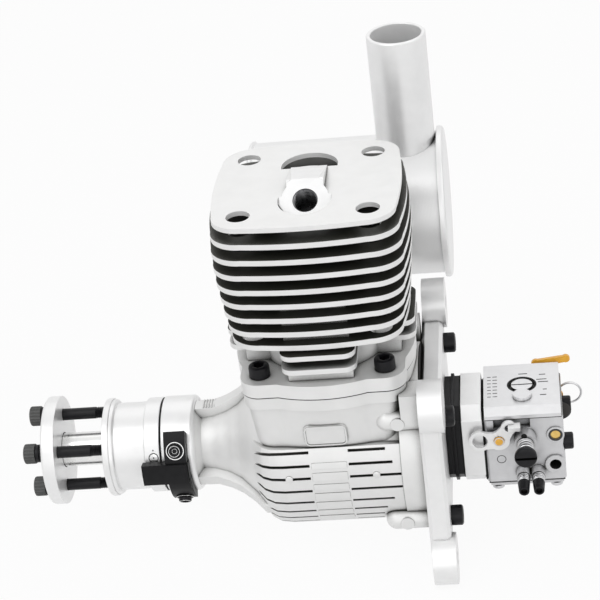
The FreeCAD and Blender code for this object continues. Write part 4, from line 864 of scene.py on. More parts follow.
def swept(points: Sequence[Vector], radius: float, sides: int, closed: bool) -> bmesh.types.BMesh:
    """Sweep a round wire along points.

    Args:
        points: The centre line, in metres.
        radius: The wire's radius in millimetres.
        sides: How many facets go round the wire.
        closed: Whether the last point joins the first.

    Returns:
        The mesh.
    """
    mesh = bmesh.new()
    rings = []
    side = Vector((0.3, 0.5, 0.8))
    count = len(points)
    for k, point in enumerate(points):
        after = points[(k + 1) % count] if closed else points[min(k + 1, count - 1)]
        before = points[k - 1] if closed or k else points[0]
        along = (after - before).normalized()
        side = (side - along * side.dot(along)).normalized()
        across = along.cross(side)
        ring = []
        for m in range(sides):
            angle = 2 * math.pi * m / sides
            offset = side * math.cos(angle) + across * math.sin(angle)
            ring.append(mesh.verts.new(point + offset * radius * MM))
        rings.append(ring)
    pairs = list(zip(rings, rings[1:]))
    if closed:
        pairs.append((rings[-1], rings[0]))
    for first, second in pairs:
        bridge(mesh, first, second)
    if not closed:
        mesh.faces.new(rings[0])
        mesh.faces.new(rings[-1])
    return mesh


def joined(name: str, meshes: Sequence[bmesh.types.BMesh], finish: Finish, body: Body, *,
           sharp: float = 35.0, bevel: float = 0.0, second: Finish | None = None) -> bpy.types.Object:
    """Several meshes as one piece, such as a set of like screws.

    Args:
        name: The piece's name.
        meshes: The meshes.
        finish: Their finish.
        body: The body that they ride on.
        sharp: Edges sharper than this stay crisp, in degrees.
        bevel: Width of the edge rounding in millimetres.
        second: The finish of the faces with material index 1.

    Returns:
        The new object.
    """
    whole = bmesh.new()
    for mesh in meshes:
        part = bpy.data.meshes.new("part")
        bmesh.ops.recalc_face_normals(mesh, faces=mesh.faces)
        mesh.to_mesh(part)
        mesh.free()
        whole.from_mesh(part)
        bpy.data.meshes.remove(part)
    piece = finished(name, whole, finish, body, sharp=sharp, bevel=bevel)
    if second:
        piece.data.materials.append(second.material())
    return piece


def dress(frame: dict, node: str, finish: Finish, bevel: float = 0.0,
          sharp: float = 32.0) -> bpy.types.Object:
    """Give a CAD node its finish and soft edges.

    Args:
        node: The CAD node.
        finish: Its finish.
        bevel: Width of the edge rounding in millimetres, 0 for none.
        sharp: Edges sharper than this stay crisp, in degrees.

    Returns:
        The node's object.
    """
    piece = frame["nodes"][node]
    piece.data.materials.clear()
    piece.data.materials.append(finish.material())
    stored = piece.data.attributes.get("custom_normal")
    if stored:
        piece.data.attributes.remove(stored)
    weld = piece.modifiers.new("weld", "WELD")
    weld.merge_threshold = WELD * MM
    soften(piece, sharp, bevel)
    LOG.info("dressed %s", node)
    return piece


def dress_faces(piece: bpy.types.Object, finish: Finish, wanted: Callable[[Vector, Vector], bool]) -> None:
    """Give some faces of a piece a finish of their own.

    Args:
        piece: The object.
        finish: The faces' finish.
        wanted: Tells from a face's centre and normal whether it takes the finish.
    """
    piece.data.materials.append(finish.material())
    index = len(piece.data.materials) - 1
    for face in piece.data.polygons:
        if wanted(face.center, face.normal):
            face.material_index = index


# Sub-assemblies


@dataclass
class PropellerDrive:
    """The driver, the front washer, the spigot nut and the four long bolts. Sizes in millimetres."""

    flange_radius: float = 20.75
    flange: float = 4.4
    barrel_radius: float = 18.5
    ring_radius: float = 20.0
    ring: float = 6.5
    washer_radius: float = 23.0
    spigot_radius: float = 7.2
    thread_radius: float = 5.0
    bolt_circle: float = 15.0
    bolt_phase: float = 28.6
    bolt_radius: float = 2.5
    bolt_head_radius: float = 4.25
    bolt_head: float = 5.0
    plain_shank: float = 23.5
    lock_washer: float = 3.3
    magnet_angle: float = -16.0
    magnet_x: float = -75.6
    magnet_radius: float = 2.0
    magnet_depth: float = 0.8
    dot_step: float = 9.2

    def build(self, frame: dict) -> None:
        """Make every piece of the group.
        """
        self._hub()
        self._washer()
        self._spigot()
        self._bolts()
        self._magnet()
        dress(frame, "hub_key", GROUND)

    def _hub(self) -> None:
        """The turned driver."""
        low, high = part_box("drive_hub")
        length = (high.x - low.x) / MM
        radius, body, ring = self.flange_radius, self.barrel_radius, self.ring_radius
        profile = [
            (0, 0), (0, radius - 0.5), (0.15, radius - 0.15), (0.5, radius), (2.5, radius),
            (2.7, radius - 0.15), (2.75, radius - 0.55), (self.flange - 0.5, radius - 0.6),
            (self.flange - 0.1, radius - 0.9), (self.flange, radius - 1.3), (self.flange, body + 0.3),
            (self.flange + 0.3, body), (length - self.ring - 0.1, body), (length - self.ring, body + 0.1),
            (length - self.ring, ring - 0.4), (length - self.ring + 0.3, ring), (length - 0.2, ring),
            (length, ring - 0.2), (length, 0),
        ]
        mesh = turned(profile, Vector((low.x, 0, 0)), Axis.X, 128)
        hub = finished("turned_drive_hub", mesh, TURNED, Body.CRANKSHAFT)
        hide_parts("drive_hub")

    def _washer(self) -> None:
        """The front disc, turned with a rounded front edge."""
        low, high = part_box("front_washer")
        thick = (high.x - low.x) / MM
        radius, hole = self.washer_radius, self.spigot_radius + 0.3
        profile = [
            (0, hole), (0, radius - 1.2), (0.2, radius - 0.6), (0.6, radius - 0.2), (1.2, radius),
            (thick - 0.3, radius), (thick - 0.08, radius - 0.1), (thick, radius - 0.35), (thick, hole),
            (0, hole),
        ]
        mesh = turned_ring(profile, Vector((low.x, 0, 0)), Axis.X, 128)
        washer = finished("turned_front_washer", mesh, TURNED, Body.CRANKSHAFT)
        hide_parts("front_washer")

    def _spigot(self) -> None:
        """The polished nut on the end of the shaft."""
        low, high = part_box("spigot_nut")
        length = (high.x - low.x) / MM
        radius, hole = self.spigot_radius, self.thread_radius + 0.06
        profile = [
            (0, hole + 0.5), (0, radius - 0.6), (0.18, radius - 0.18), (0.6, radius), (length, radius),
            (length, hole), (0.5, hole), (0, hole + 0.5),
        ]
        mesh = turned_ring(profile, Vector((low.x, 0, 0)), Axis.X, 96)
        nut = finished("polished_spigot_nut", mesh, BRIGHT_STEEL_AND_HIGHLIGHT, Body.CRANKSHAFT)
        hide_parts("spigot_nut")

    def _places(self) -> list[tuple[float, float]]:
        """The bolts' places across the crank axis, in millimetres."""
        angles = [math.radians(self.bolt_phase + 90 * k) for k in range(4)]
        return [(self.bolt_circle * math.sin(a), self.bolt_circle * math.cos(a)) for a in angles]

    def _bolts(self) -> None:
        """Four knurled socket screws on split lock washers."""
        low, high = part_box("propeller_bolts")
        seat = low.x + self.bolt_head * MM
        length = (high.x - seat) / MM
        screw = Screw(self.bolt_radius, self.bolt_head_radius, self.bolt_head, length, self.plain_shank,
                      knurl=0.4, teeth=22)
        meshes = []
        for y, z in self._places():
            meshes.append(screw.mesh(Vector((seat, y * MM, z * MM)), Axis.MINUS_X))
            meshes.append(self._lock_washer(Vector((seat, y * MM, z * MM))))
        # The heads take the lighter knurled finish, a painted highlight on their ridges.
        bolts = joined("knurled_propeller_bolts", meshes, BLACK_OXIDE, Body.CRANKSHAFT, second=KNURLED_HEAD_PAINTED_HIGHLIGHT)
        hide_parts("propeller_bolts")

    def _lock_washer(self, origin: Vector) -> bmesh.types.BMesh:
        """A stack of two flat rings with a groove between them.

        Args:
            origin: The centre of its front face.

        Returns:
            The mesh.
        """
        outer, inner = self.bolt_head_radius - 0.5, self.bolt_radius + 0.03
        middle = self.lock_washer / 2
        profile = [
            (0, inner), (0, outer - 0.2), (0.2, outer), (middle - 0.2, outer), (middle, outer - 0.35),
            (middle + 0.2, outer), (self.lock_washer - 0.2, outer), (self.lock_washer, outer - 0.2),
            (self.lock_washer, inner), (0, inner),
        ]
        return turned_ring(profile, origin, Axis.X, 48)

    def _magnet(self) -> None:
        """The round magnet, flush with the timing ring, with its ring and dots."""
        origin = self._on_ring(self.magnet_angle)
        radius = self.magnet_radius
        profile = [(0, 0), (0, radius), (0.7, radius), (0.78, radius - 0.12), (0.78, 0)]
        mesh = turned(profile, Vector(), Axis.Z, 48)
        bmesh.ops.transform(mesh, matrix=pointing_out(self.magnet_angle, origin), verts=mesh.verts)
        magnet = finished("timing_magnet_disc", mesh, BRIGHT_STEEL_AND_HIGHLIGHT, Body.CRANKSHAFT)
        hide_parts("timing_magnet")
        outline = [(0.6, 1.75), (0.84, 1.75), (0.84, 2.1), (0.6, 2.1), (0.6, 1.75)]
        marks = [
            turned_ring(outline, Vector(), Axis.Z, 48),
            turned([(0.6, 0), (0.6, 0.32), (0.81, 0.32), (0.81, 0)], Vector(), Axis.Z, 20),
        ]
        for mark in marks:
            bmesh.ops.transform(mark, matrix=pointing_out(self.magnet_angle, origin), verts=mark.verts)
        dot_angle = self.magnet_angle - self.dot_step
        dot = turned([(0, 0), (0, 0.3), (0.84, 0.3), (0.84, 0)], Vector(), Axis.Z, 20)
        place = pointing_out(dot_angle, self._on_ring(dot_angle))
        bmesh.ops.transform(dot, matrix=place, verts=dot.verts)
        lines = joined("timing_magnet_marks", [*marks, dot], BLACK_FIBRE_AND_SHADE, Body.CRANKSHAFT)

    def _on_ring(self, degrees: float) -> Vector:
        """The foot of a magnet or dot that is sunk into the timing ring's rim.

        Args:
            degrees: Its angle below the near side.

        Returns:
            The point.
        """
        return vec(self.magnet_x, 0, 0) + outward(degrees) * (self.ring_radius - self.magnet_depth) * MM


@dataclass
class IgnitionPickup:
    """The sensor ring round the snout with its black holder and two screws. Sizes in millimetres.

    The rims hold the inner radius, outer radius and height of the thin bright rings that are painted on each
    screw as highlights.
    """

    ring_radius: float = 20.2
    bore_radius: float = 17.82
    screw_x: float = -65.5
    screw_angles: tuple[float, float] = (-25.0, 44.0)
    seats: tuple[float, float] = (24.6, 23.2)
    rims: tuple[tuple[float, float, float], ...] = (
        (3.45, 3.75, 0.44), (2.2, 2.34, 2.24), (0.95, 1.08, 1.3),
    )

    def build(self, frame: dict) -> None:
        """Make every piece of the group.
        """
        low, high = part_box("sensor_ring")
        width = (high.x - low.x) / MM
        radius, bore = self.ring_radius, self.bore_radius
        profile = [
            (0, bore), (0, radius - 0.3), (0.3, radius), (width - 1.6, radius), (width - 0.8, radius - 0.3),
            (width - 0.15, radius - 1.0), (width, radius - 1.5), (width, bore), (0, bore),
        ]
        mesh = turned_ring(profile, Vector((low.x, 0, 0)), Axis.X, 128)
        ring = finished("turned_sensor_ring", mesh, TURNED, Body.BLOCK)
        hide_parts("sensor_ring")
        self._holder()
        self._screws()

    def _holder(self) -> None:
        """The moulded holder: a square block, a long finger with a ridge, and a low ear."""
        blocks = [
            sector((20.25, 24.6), (-70.2, -61.2), (-44.0, -11.5)),
            sector((20.9, 25.4), (-80.2, -61.2), (-12.0, 9.5)),
            sector((20.9, 25.75), (-80.0, -61.4), (-11.6, -9.6)),
            sector((20.25, 23.2), (-70.4, -60.6), (9.0, 51.8)),
            sector((20.25, 24.2), (-69.6, -60.8), (-12.0, 20.0)),
        ]
        holder = joined("moulded_sensor_holder", blocks, BLACK_PLASTIC, Body.BLOCK, bevel=0.55)
        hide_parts("sensor_holder")

    def _screws(self) -> None:
        """Two small socket screws in plain washers, pointing at the crank axis."""
        meshes = []
        rims = []
        outline = [(-0.05, 2.75), (-0.05, 3.6), (0.3, 3.6), (0.4, 3.4), (0.4, 2.75), (-0.05, 2.75)]
        pattern = Screw(1.45, 2.7, 2.2, 5.5, 2.0, pitch=0.5, knurl=0.1, teeth=20)
        for angle, seat in zip(self.screw_angles, self.seats):
            place = pointing_out(angle, vec(self.screw_x, 0, 0) + outward(angle) * seat * MM)
            for mesh in (pattern.mesh(Vector(), Axis.Z), turned_ring(outline, Vector(), Axis.Z, 40)):
                bmesh.ops.transform(mesh, matrix=place, verts=mesh.verts)
                meshes.append(mesh)
            # Painted highlights: thin bright rings on the washer's edge, on the head's top and inside the
            # socket.
            for inner, outer, top in self.rims:
                foot = top - 0.1
                edge = [(foot, inner), (top, inner), (top, outer), (foot, outer), (foot, inner)]
                rim = turned_ring(edge, Vector(), Axis.Z, 40)
                bmesh.ops.transform(rim, matrix=place, verts=rim.verts)
                rims.append(rim)
        screws = joined("sensor_socket_screws", meshes, BLACK_OXIDE, Body.BLOCK)
        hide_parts("sensor_screws")
        edges = joined("sensor_screw_painted_highlights", rims, BRIGHT_STEEL_AND_HIGHLIGHT, Body.BLOCK)


@dataclass
class BlockAndHead:
    """The castings, the rear plate and the bolts that hold them together. Sizes in millimetres.

    fin_stack is the heights between which faces of the cylinder are sides of fins, and head_top
    how far below the upper one the faces that look up belong to the head. The pads lie between
    the cooling grooves, at pad_edges degrees below the near side. The blank plate's place, half
    sizes and corner radius are those of its frame. The slot and the pad round the plug are on
    the head.
    """

    bolt_half: float = 25.3
    bolt_head_radius: float = 4.25
    bolt_head: float = 5.0
    bolt_radius: float = 2.5
    plain_shank: float = 8.0
    plate_screw: tuple[float, float] = (29.3, 24.1)
    fin_stack: tuple[float, float] = (56.0, 117.0)
    head_top: float = 5.0
    rib_radius: float = 36.0
    pad_edges: tuple[float, ...] = (-15.4, -8.4, 0.2, 7.6, 16.0, 25.2, 34.0, 42.6)
    pad_gap: float = 1.3
    pad_xs: tuple[float, float] = (-8.0, 6.4)
    pad_depths: tuple[float, float] = (-0.3, 0.22)
    boss_xs: tuple[float, float] = (-17.7, 18.1)
    boss_z: float = 2.2
    ridges: int = 9
    ridge_start: float = -54.6
    ridge_step: float = 1.15
    ridge_z: float = 18.9
    ridge_rise: float = 0.14
    ridge_size: tuple[float, float, float] = (0.45, 6.4, 0.3)
    plate_tilt: float = 8.5
    plate_place: tuple[float, float, float] = (-0.85, -33.9, 21.0)
    plate_half: tuple[float, float] = (6.3, 2.75)
    plate_corner: float = 2.4
    plug_tilt: float = 40.0
    plug_seat: tuple[float, float] = (-12.2, 116.4)
    plug_radius: float = 5.0
    pad_radius: float = 16.0
    slot_half: float = 5.5
    slot_ys: tuple[float, float] = (-12.0, 9.0)
    slot_floor: float = 116.0

    def build(self, frame: dict) -> None:
        """Make every piece of the group.
        """
        dress(frame, "crankcase", CASTING, 0.35)
        cylinder = dress(frame, "cylinder", FINNED, 0.2)
        # The flat sides of the fins take the painted fin shade.
        dress_faces(cylinder, FIN_FACE_PAINTED_SHADE, self._in_fin_gap)
        dress_faces(cylinder, PAD, self._on_pad)
        self._plug_thread()
        self._case_details()
        dress(frame, "cylinder_gasket", BLACK_FIBRE_AND_SHADE)
        dress(frame, "crankcase_gasket", BLACK_FIBRE_AND_SHADE)
        dress(frame, "rear_mount_plate", MILLED, 0.5)
        self._base_bolts()
        self._plate_bolts()

    def _case_details(self) -> None:
        """Low pads between the cooling grooves, a frame on the blank plate and ridges on the top web."""
        radii = tuple(self.rib_radius + depth for depth in self.pad_depths)
        meshes = []
        for first, last in zip(self.pad_edges, self.pad_edges[1:]):
            near = (first + self.pad_gap, last - self.pad_gap)
            for angles in (near, (180 - near[1], 180 - near[0])):
                meshes.append(sector(radii, self.pad_xs, angles, 8))
        for x in self.boss_xs:
            low = turned([(0.45, 0), (0.45, 1.0), (0.2, 1.5), (-0.5, 1.5)], Vector(), Axis.Z, 24)
            place = pointing_out(0.0, vec(x, -self.rib_radius + 0.02, self.boss_z))
            bmesh.ops.transform(low, matrix=place, verts=low.verts)
            meshes.append(low)
        meshes.append(self._plate_frame())
        ridges = bmesh.new()
        for k in range(self.ridges):
            z = self.ridge_z + self.ridge_rise * max(0, k - self.ridges // 2)
            bar(ridges, vec(self.ridge_start + self.ridge_step * k, 0.0, z), Vector(self.ridge_size))
        meshes.append(ridges)
        details = joined("case_pads_and_ridges", meshes, CASTING, Body.BLOCK, bevel=0.08)

    def _plate_frame(self) -> bmesh.types.BMesh:
        """A raised edge round the blank plate on the near side of the case."""
        turn = Matrix.Rotation(math.radians(self.plate_tilt), 4, "X")
        place = Matrix.Translation(vec(*self.plate_place)) @ turn
        mesh = bmesh.new()
        rings = []
        for grow, out in ((-0.1, -0.2), (-0.1, 0.35), (-0.75, 0.35), (-0.75, -0.2)):
            reach = self.plate_corner + grow
            ring = []
            for cx, cz, start in ((1, 1, 0), (-1, 1, 90), (-1, -1, 180), (1, -1, 270)):
                for k in range(7):
                    angle = math.radians(start + 15 * k)
                    x = cx * self.plate_half[0] + reach * math.cos(angle)
                    z = cz * self.plate_half[1] + reach * math.sin(angle)
                    ring.append(mesh.verts.new(place @ (Vector((x, -out, z)) * MM)))
            rings.append(ring)
        for first, second in zip(rings, [*rings[1:], rings[0]]):
            bridge(mesh, first, second)
        return mesh

    def _plug_axis(self) -> Vector:
        """The way that the spark plug points out of the head."""
        tilt = math.radians(self.plug_tilt)
        return Vector((0, -math.sin(tilt), math.cos(tilt)))

    def _in_fin_gap(self, centre: Vector, normal: Vector) -> bool:
        """Whether a face of the cylinder is the flat side of a fin, but for the head's own top."""
        foot, roof = self.fin_stack
        if normal.z > 0:
            roof -= self.head_top
        return abs(normal.z) > 0.9 and foot < centre.z / MM < roof

    def _on_pad(self, centre: Vector, normal: Vector) -> bool:
        """Whether a face of the cylinder lies on the machined pad round the plug hole."""
        x, y, z = (centre - vec(0, 0, 0)) / MM
        in_slot = abs(x) < self.slot_half and self.slot_ys[0] < y < self.slot_ys[1] and z > self.slot_floor
        if in_slot and normal.z > 0.95:
            return normal.y > 0.1
        axis = self._plug_axis()
        offset = (centre - vec(0, *self.plug_seat)) / MM
        return normal.dot(axis) > 0.97 and abs(offset.dot(axis)) < 2.0 and offset.length < self.pad_radius

    def _plug_thread(self) -> None:
        """The tapped hole for the spark plug, a helical ridge inside the bore."""
        pitch, steps, length, clearance, lead_in = 1.0, 64, 12.4, 0.03, 0.8
        mesh = bmesh.new()
        turn = self._plug_axis().to_track_quat("Z", "Y").to_matrix()
        seat = vec(0, *self.plug_seat)
        rings = []
        along = -0.2
        while along > -length:
            depth = THREAD_DEPTH * pitch * min(1.0, (-along - 0.1) / lead_in)
            ridges = [thread_ridge(along, pitch, k / steps) for k in range(steps)]
            reaches = [self.plug_radius - clearance - depth * ridge for ridge in ridges]
            rings.append(circle(mesh, seat, turn, along, reaches))
            along -= pitch / 4
        for first, second in zip(rings, rings[1:]):
            bridge(mesh, first, second)
        mesh.faces.new(rings[-1])
        thread = finished("plug_hole_thread", mesh, TAPPED, Body.BLOCK)

    def _base_bolts(self) -> None:
        """Four socket screws through the cylinder's base flange."""
        low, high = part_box("cylinder_bolts")
        seat = high.z - self.bolt_head * MM
        screw = Screw(self.bolt_radius, self.bolt_head_radius, self.bolt_head, (seat - low.z) / MM,
                      self.plain_shank)
        middle = (low.x + high.x) / 2
        meshes = [
            screw.mesh(Vector((middle + i * self.bolt_half * MM, j * self.bolt_half * MM, seat)), Axis.Z)
            for i in (-1, 1) for j in (-1, 1)
        ]
        bolts = joined("cylinder_socket_bolts", meshes, BLACK_OXIDE, Body.BLOCK)
        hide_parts("cylinder_bolts")

    def _plate_bolts(self) -> None:
        """Four socket screws that hold the rear plate to the case."""
        low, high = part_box("mount_plate_bolts")
        seat = high.x - self.bolt_head * MM
        screw = Screw(self.bolt_radius, self.bolt_head_radius, self.bolt_head, (seat - low.x) / MM,
                      self.plain_shank)
        meshes = [
            screw.mesh(Vector((seat, i * self.plate_screw[0] * MM, j * self.plate_screw[1] * MM)), Axis.X)
            for i in (-1, 1) for j in (-1, 1)
        ]
        bolts = joined("plate_socket_bolts", meshes, BLACK_OXIDE, Body.BLOCK)
        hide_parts("mount_plate_bolts")


@dataclass
class IntakeStack:
    """The reed valve, the black heat block, the bright spacer and their gaskets."""

    def build(self, frame: dict) -> None:
        """Dress every node of the group.
        """
        dress(frame, "insulator_block", BLACK_PLASTIC, 0.35)
        dress(frame, "intake_spacer", MILLED, 0.4)
        dress(frame, "intake_gaskets", BLACK_FIBRE_AND_SHADE)
        dress(frame, "reed_block", BLACK_PLASTIC, 0.2)
        for node in ("reed_stops", "upper_reed_petal", "lower_reed_petal"):
            dress(frame, node, GROUND)


@dataclass
class CarburettorGroup:
    """The carburettor with its covers, spindles, levers, screws and springs. Sizes in millimetres."""

    bore_z: float = 5.2
    throttle_x: float = 68.0
    choke_x: float = 91.0
    bolt_y: float = 14.2
    bolt_z: float = -0.5
    bolt_radius: float = 2.0
    bolt_head_radius: float = 3.5
    bolt_head: float = 4.0
    plain_shank: float = 45.0
    ring_radius: float = 4.8
    ring_wire: float = 0.5
    hook_length: float = 2.4
    cover_top: float = 18.2
    pump_screw: tuple[float, float] = (78.4, 1.2)
    plug_ring: tuple[float, float, float] = (68.35, -17.6, -5.7)
    vent_hole: tuple[float, float, float] = (78.3, -23.6, 8.7)
    fuel_place: tuple[float, float] = (90.3, -9.0)
    fuel_bore: float = 2.55
    fuel_depth: float = -5.0

    def build(self, frame: dict) -> None:
        """Make every piece of the group.
        """
        body = dress(frame, "carburettor_body", DIE_CAST, 0.4)
        # The faces inside the fuel inlet are painted black as shade.
        dress_faces(body, BLACK_FIBRE_AND_SHADE, self._in_fuel_bore)
        dress(frame, "pump_cover", COVER, 0.4)
        dress(frame, "metering_cover", DIE_CAST, 0.3)
        dress(frame, "carburettor_diaphragms", RUBBER)
        dress(frame, "throttle_lever", MILLED, 0.25)
        dress(frame, "throttle_shaft", GROUND)
        dress(frame, "throttle_plate", BRASS)
        dress(frame, "choke_shaft", BRASS)
        dress(frame, "choke_plate", BLACK_OXIDE)
        dress(frame, "choke_lever", ORANGE, 0.3)
        dress(frame, "cover_screws", GROUND, 0.12)
        self._bolts()
        self._idle_screw()
        self._needles()
        self._throttle_spring()
        self._pull_ring()
        self._spindle_ends()
        self._cover_marks()

    def _bolts(self) -> None:
        """Two long screws from the rear face into the plate."""
        low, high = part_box("carburettor_bolts")
        seat = high.x - self.bolt_head * MM
        screw = Screw(self.bolt_radius, self.bolt_head_radius, self.bolt_head, (seat - low.x) / MM,
                      self.plain_shank, pitch=0.7, teeth=26)
        meshes = [
            screw.mesh(Vector((seat, j * self.bolt_y * MM, self.bolt_z * MM)), Axis.X) for j in (-1, 1)
        ]
        bolts = joined("carburettor_socket_bolts", meshes, BLACK_OXIDE, Body.BLOCK)
        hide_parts("carburettor_bolts")

    def _idle_screw(self) -> None:
        """The idle speed screw with its big slotted cap, and its spring."""
        low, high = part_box("idle_speed_screw")
        x, z = (low.x + high.x) / 2, (low.z + high.z) / 2
        length = (high.y - low.y) / MM
        profile = [
            (0, 0), (0.0, 3.6), (0.25, 4.2), (0.8, 4.55), (1.6, 4.6), (2.6, 4.5), (3.2, 4.0), (3.6, 3.0),
            (3.6, 2.0), (length - 2.0, 2.0), (length, 0.3), (length, 0),
        ]
        mesh = turned(profile, Vector((x, low.y, z)), Axis.Y, 64)
        cut_slot(mesh, Vector((x, low.y, z)), Axis.Y, 9.6, 1.0, 1.4)
        screw = finished("slotted_idle_speed_screw", mesh, BLACK_OXIDE, Body.IDLE_SCREW)
        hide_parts("idle_speed_screw")
        start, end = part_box("idle_screw_spring")
        coil = Coil(2.95, 0.45, (end.y - start.y) / MM, 4.5)
        spring = finished("idle_screw_coil", coil.mesh(Vector((x, start.y, z)), Axis.Y), GROUND, Body.BLOCK)
        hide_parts("idle_screw_spring")

    def _needles(self) -> None:
        """The two mixture needles with hooded black heads, and their springs."""
        coils = []
        start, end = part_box("needle_springs")
        coil = Coil(2.25, 0.4, (end.y - start.y) / MM, 4.0)
        for name, body in (("low_speed_needle", Body.LOW_NEEDLE), ("high_speed_needle", Body.HIGH_NEEDLE)):
            low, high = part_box(name)
            length = (high.y - low.y) / MM
            middle = Vector(((low.x + high.x) / 2, low.y, (low.z + high.z) / 2))
            profile = [
                (1.6, 0), (1.6, 1.3), (0.1, 1.35), (0.0, 1.5), (0.0, 1.95), (0.3, 2.15), (4.6, 2.45),
                (5.6, 2.5), (6.0, 2.3), (6.0, 1.6), (length - 3.0, 1.6), (length, 0.3), (length, 0),
            ]
            mesh = turned(profile, middle, Axis.Y, 40)
            needle = finished("hooded_" + name, mesh, BLACK_OXIDE, body)
            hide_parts(name)
            coils.append(coil.mesh(Vector((middle.x, start.y, middle.z)), Axis.Y))
        springs = joined("needle_coils", coils, GROUND, Body.BLOCK)
        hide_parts("needle_springs")

    def _throttle_spring(self) -> None:
        """The return spring on the far end of the throttle spindle."""
        start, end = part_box("throttle_spring")
        x, z = (start.x + end.x) / 2, (start.z + end.z) / 2
        coil = Coil(3.0, 0.4, (end.y - start.y) / MM, 4.0)
        spring = finished("throttle_coil", coil.mesh(Vector((x, start.y, z)), Axis.Y), GROUND, Body.BLOCK)
        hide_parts("throttle_spring")

    def _pull_ring(self) -> None:
        """The wire eye that hooks into the choke lever."""
        low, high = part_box("choke_pull_ring")
        wire, radius = self.ring_wire, self.ring_radius
        middle = Vector((high.x - (radius + wire) * MM, high.y - wire * MM, (low.z + high.z) / 2))
        points = [
            middle + Vector((math.cos(a), 0, math.sin(a))) * radius * MM
            for a in (2 * math.pi * k / 48 for k in range(48))
        ]
        hook = [middle + Vector((-radius * MM, -self.hook_length * MM * k / 4, 0)) for k in range(5)]
        meshes = [swept(points, wire, 10, True), swept(hook, wire, 10, False)]
        ring = joined("wire_pull_ring", meshes, GROUND, Body.CHOKE)
        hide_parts("choke_pull_ring")

    def _spindle_ends(self) -> None:
        """The orange rivet on the throttle lever, and the black ring round the choke spindle."""
        shaft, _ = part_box("throttle_shaft")
        place = vec(self.throttle_x, 0, self.bore_z)
        dome = [(0, 0), (0.05, 1.2), (0.35, 2.0), (0.8, 2.15), (0.8, 0)]
        mesh = turned(dome, Vector((place.x, shaft.y - 0.2 * MM, place.z)), Axis.Y, 40)
        rivet = finished("throttle_lever_rivet", mesh, ORANGE, Body.THROTTLE)
        start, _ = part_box("choke_shaft")
        place = vec(self.choke_x, 0, self.bore_z)
        seal = [(0, 2.06), (0, 2.9), (0.2, 3.05), (1.0, 3.05), (1.0, 2.06), (0, 2.06)]
        mesh = turned_ring(seal, Vector((place.x, start.y - 0.45 * MM, place.z)), Axis.Y, 48)
        ring = finished("choke_spindle_seal", mesh, RUBBER, Body.BLOCK)

    def _in_fuel_bore(self, centre: Vector, normal: Vector) -> bool:
        """Whether a face of the body lies inside the fuel inlet."""
        x, z = self.fuel_place
        offset = centre - vec(x, 0, z)
        across = math.hypot(offset.x, offset.z)
        bore = self.fuel_bore * MM
        return centre.y < self.fuel_depth * MM and across < (bore if abs(normal.y) < 0.9 else 0.6 * bore)

    def _cover_marks(self) -> None:
        """Plain dark bars pressed into the top cover, and a ring round its screw."""
        left = [(x, 8.4 - 2.6 * k, length, 0.5) for k in range(7) for x, length in ((64.9, 1.5), (67.3, 1.9))]
        right = [
            (86.6, 4.6, 4.2, 0.6), (87.2, 2.6, 4.2, 0.6), (79.0, 9.6, 3.6, 0.6), (87.0, 8.4, 2.6, 0.6),
            (87.8, -3.4, 1.6, 0.6), (87.0, -7.6, 2.6, 0.6),
        ]
        marks = bmesh.new()
        for x, y, length, width in left + right:
            bar(marks, vec(x, y, self.cover_top), Vector((length, width, 0.06)))
        place = vec(*self.pump_screw, self.cover_top)
        # A black ring of painted shade at the edge of the recess round the pump screw.
        outline = [(-0.1, 5.35), (0.05, 5.35), (0.05, 6.1), (-0.1, 6.1), (-0.1, 5.35)]
        recess_shade_ring = turned_ring(outline, place, Axis.Z, 64)
        pieces = joined("cover_marks_and_recess_shade", [marks, recess_shade_ring], BLACK_FIBRE_AND_SHADE, Body.BLOCK)
        ring = [(-0.06, 1.65), (0.1, 1.65), (0.1, 1.9), (-0.06, 1.9), (-0.06, 1.65)]
        # A black disc of painted shade in the vent hole.
        hole = [(-0.12, 0), (-0.12, 1.15), (0.1, 1.15), (0.1, 0)]
        side_marks = [
            turned_ring(ring, vec(*self.plug_ring), Axis.Y, 40),
            turned(hole, vec(*self.vent_hole), Axis.Y, 32),
        ]
        lines = joined("body_plug_ring_and_vent_shade", side_marks, BLACK_FIBRE_AND_SHADE, Body.BLOCK)


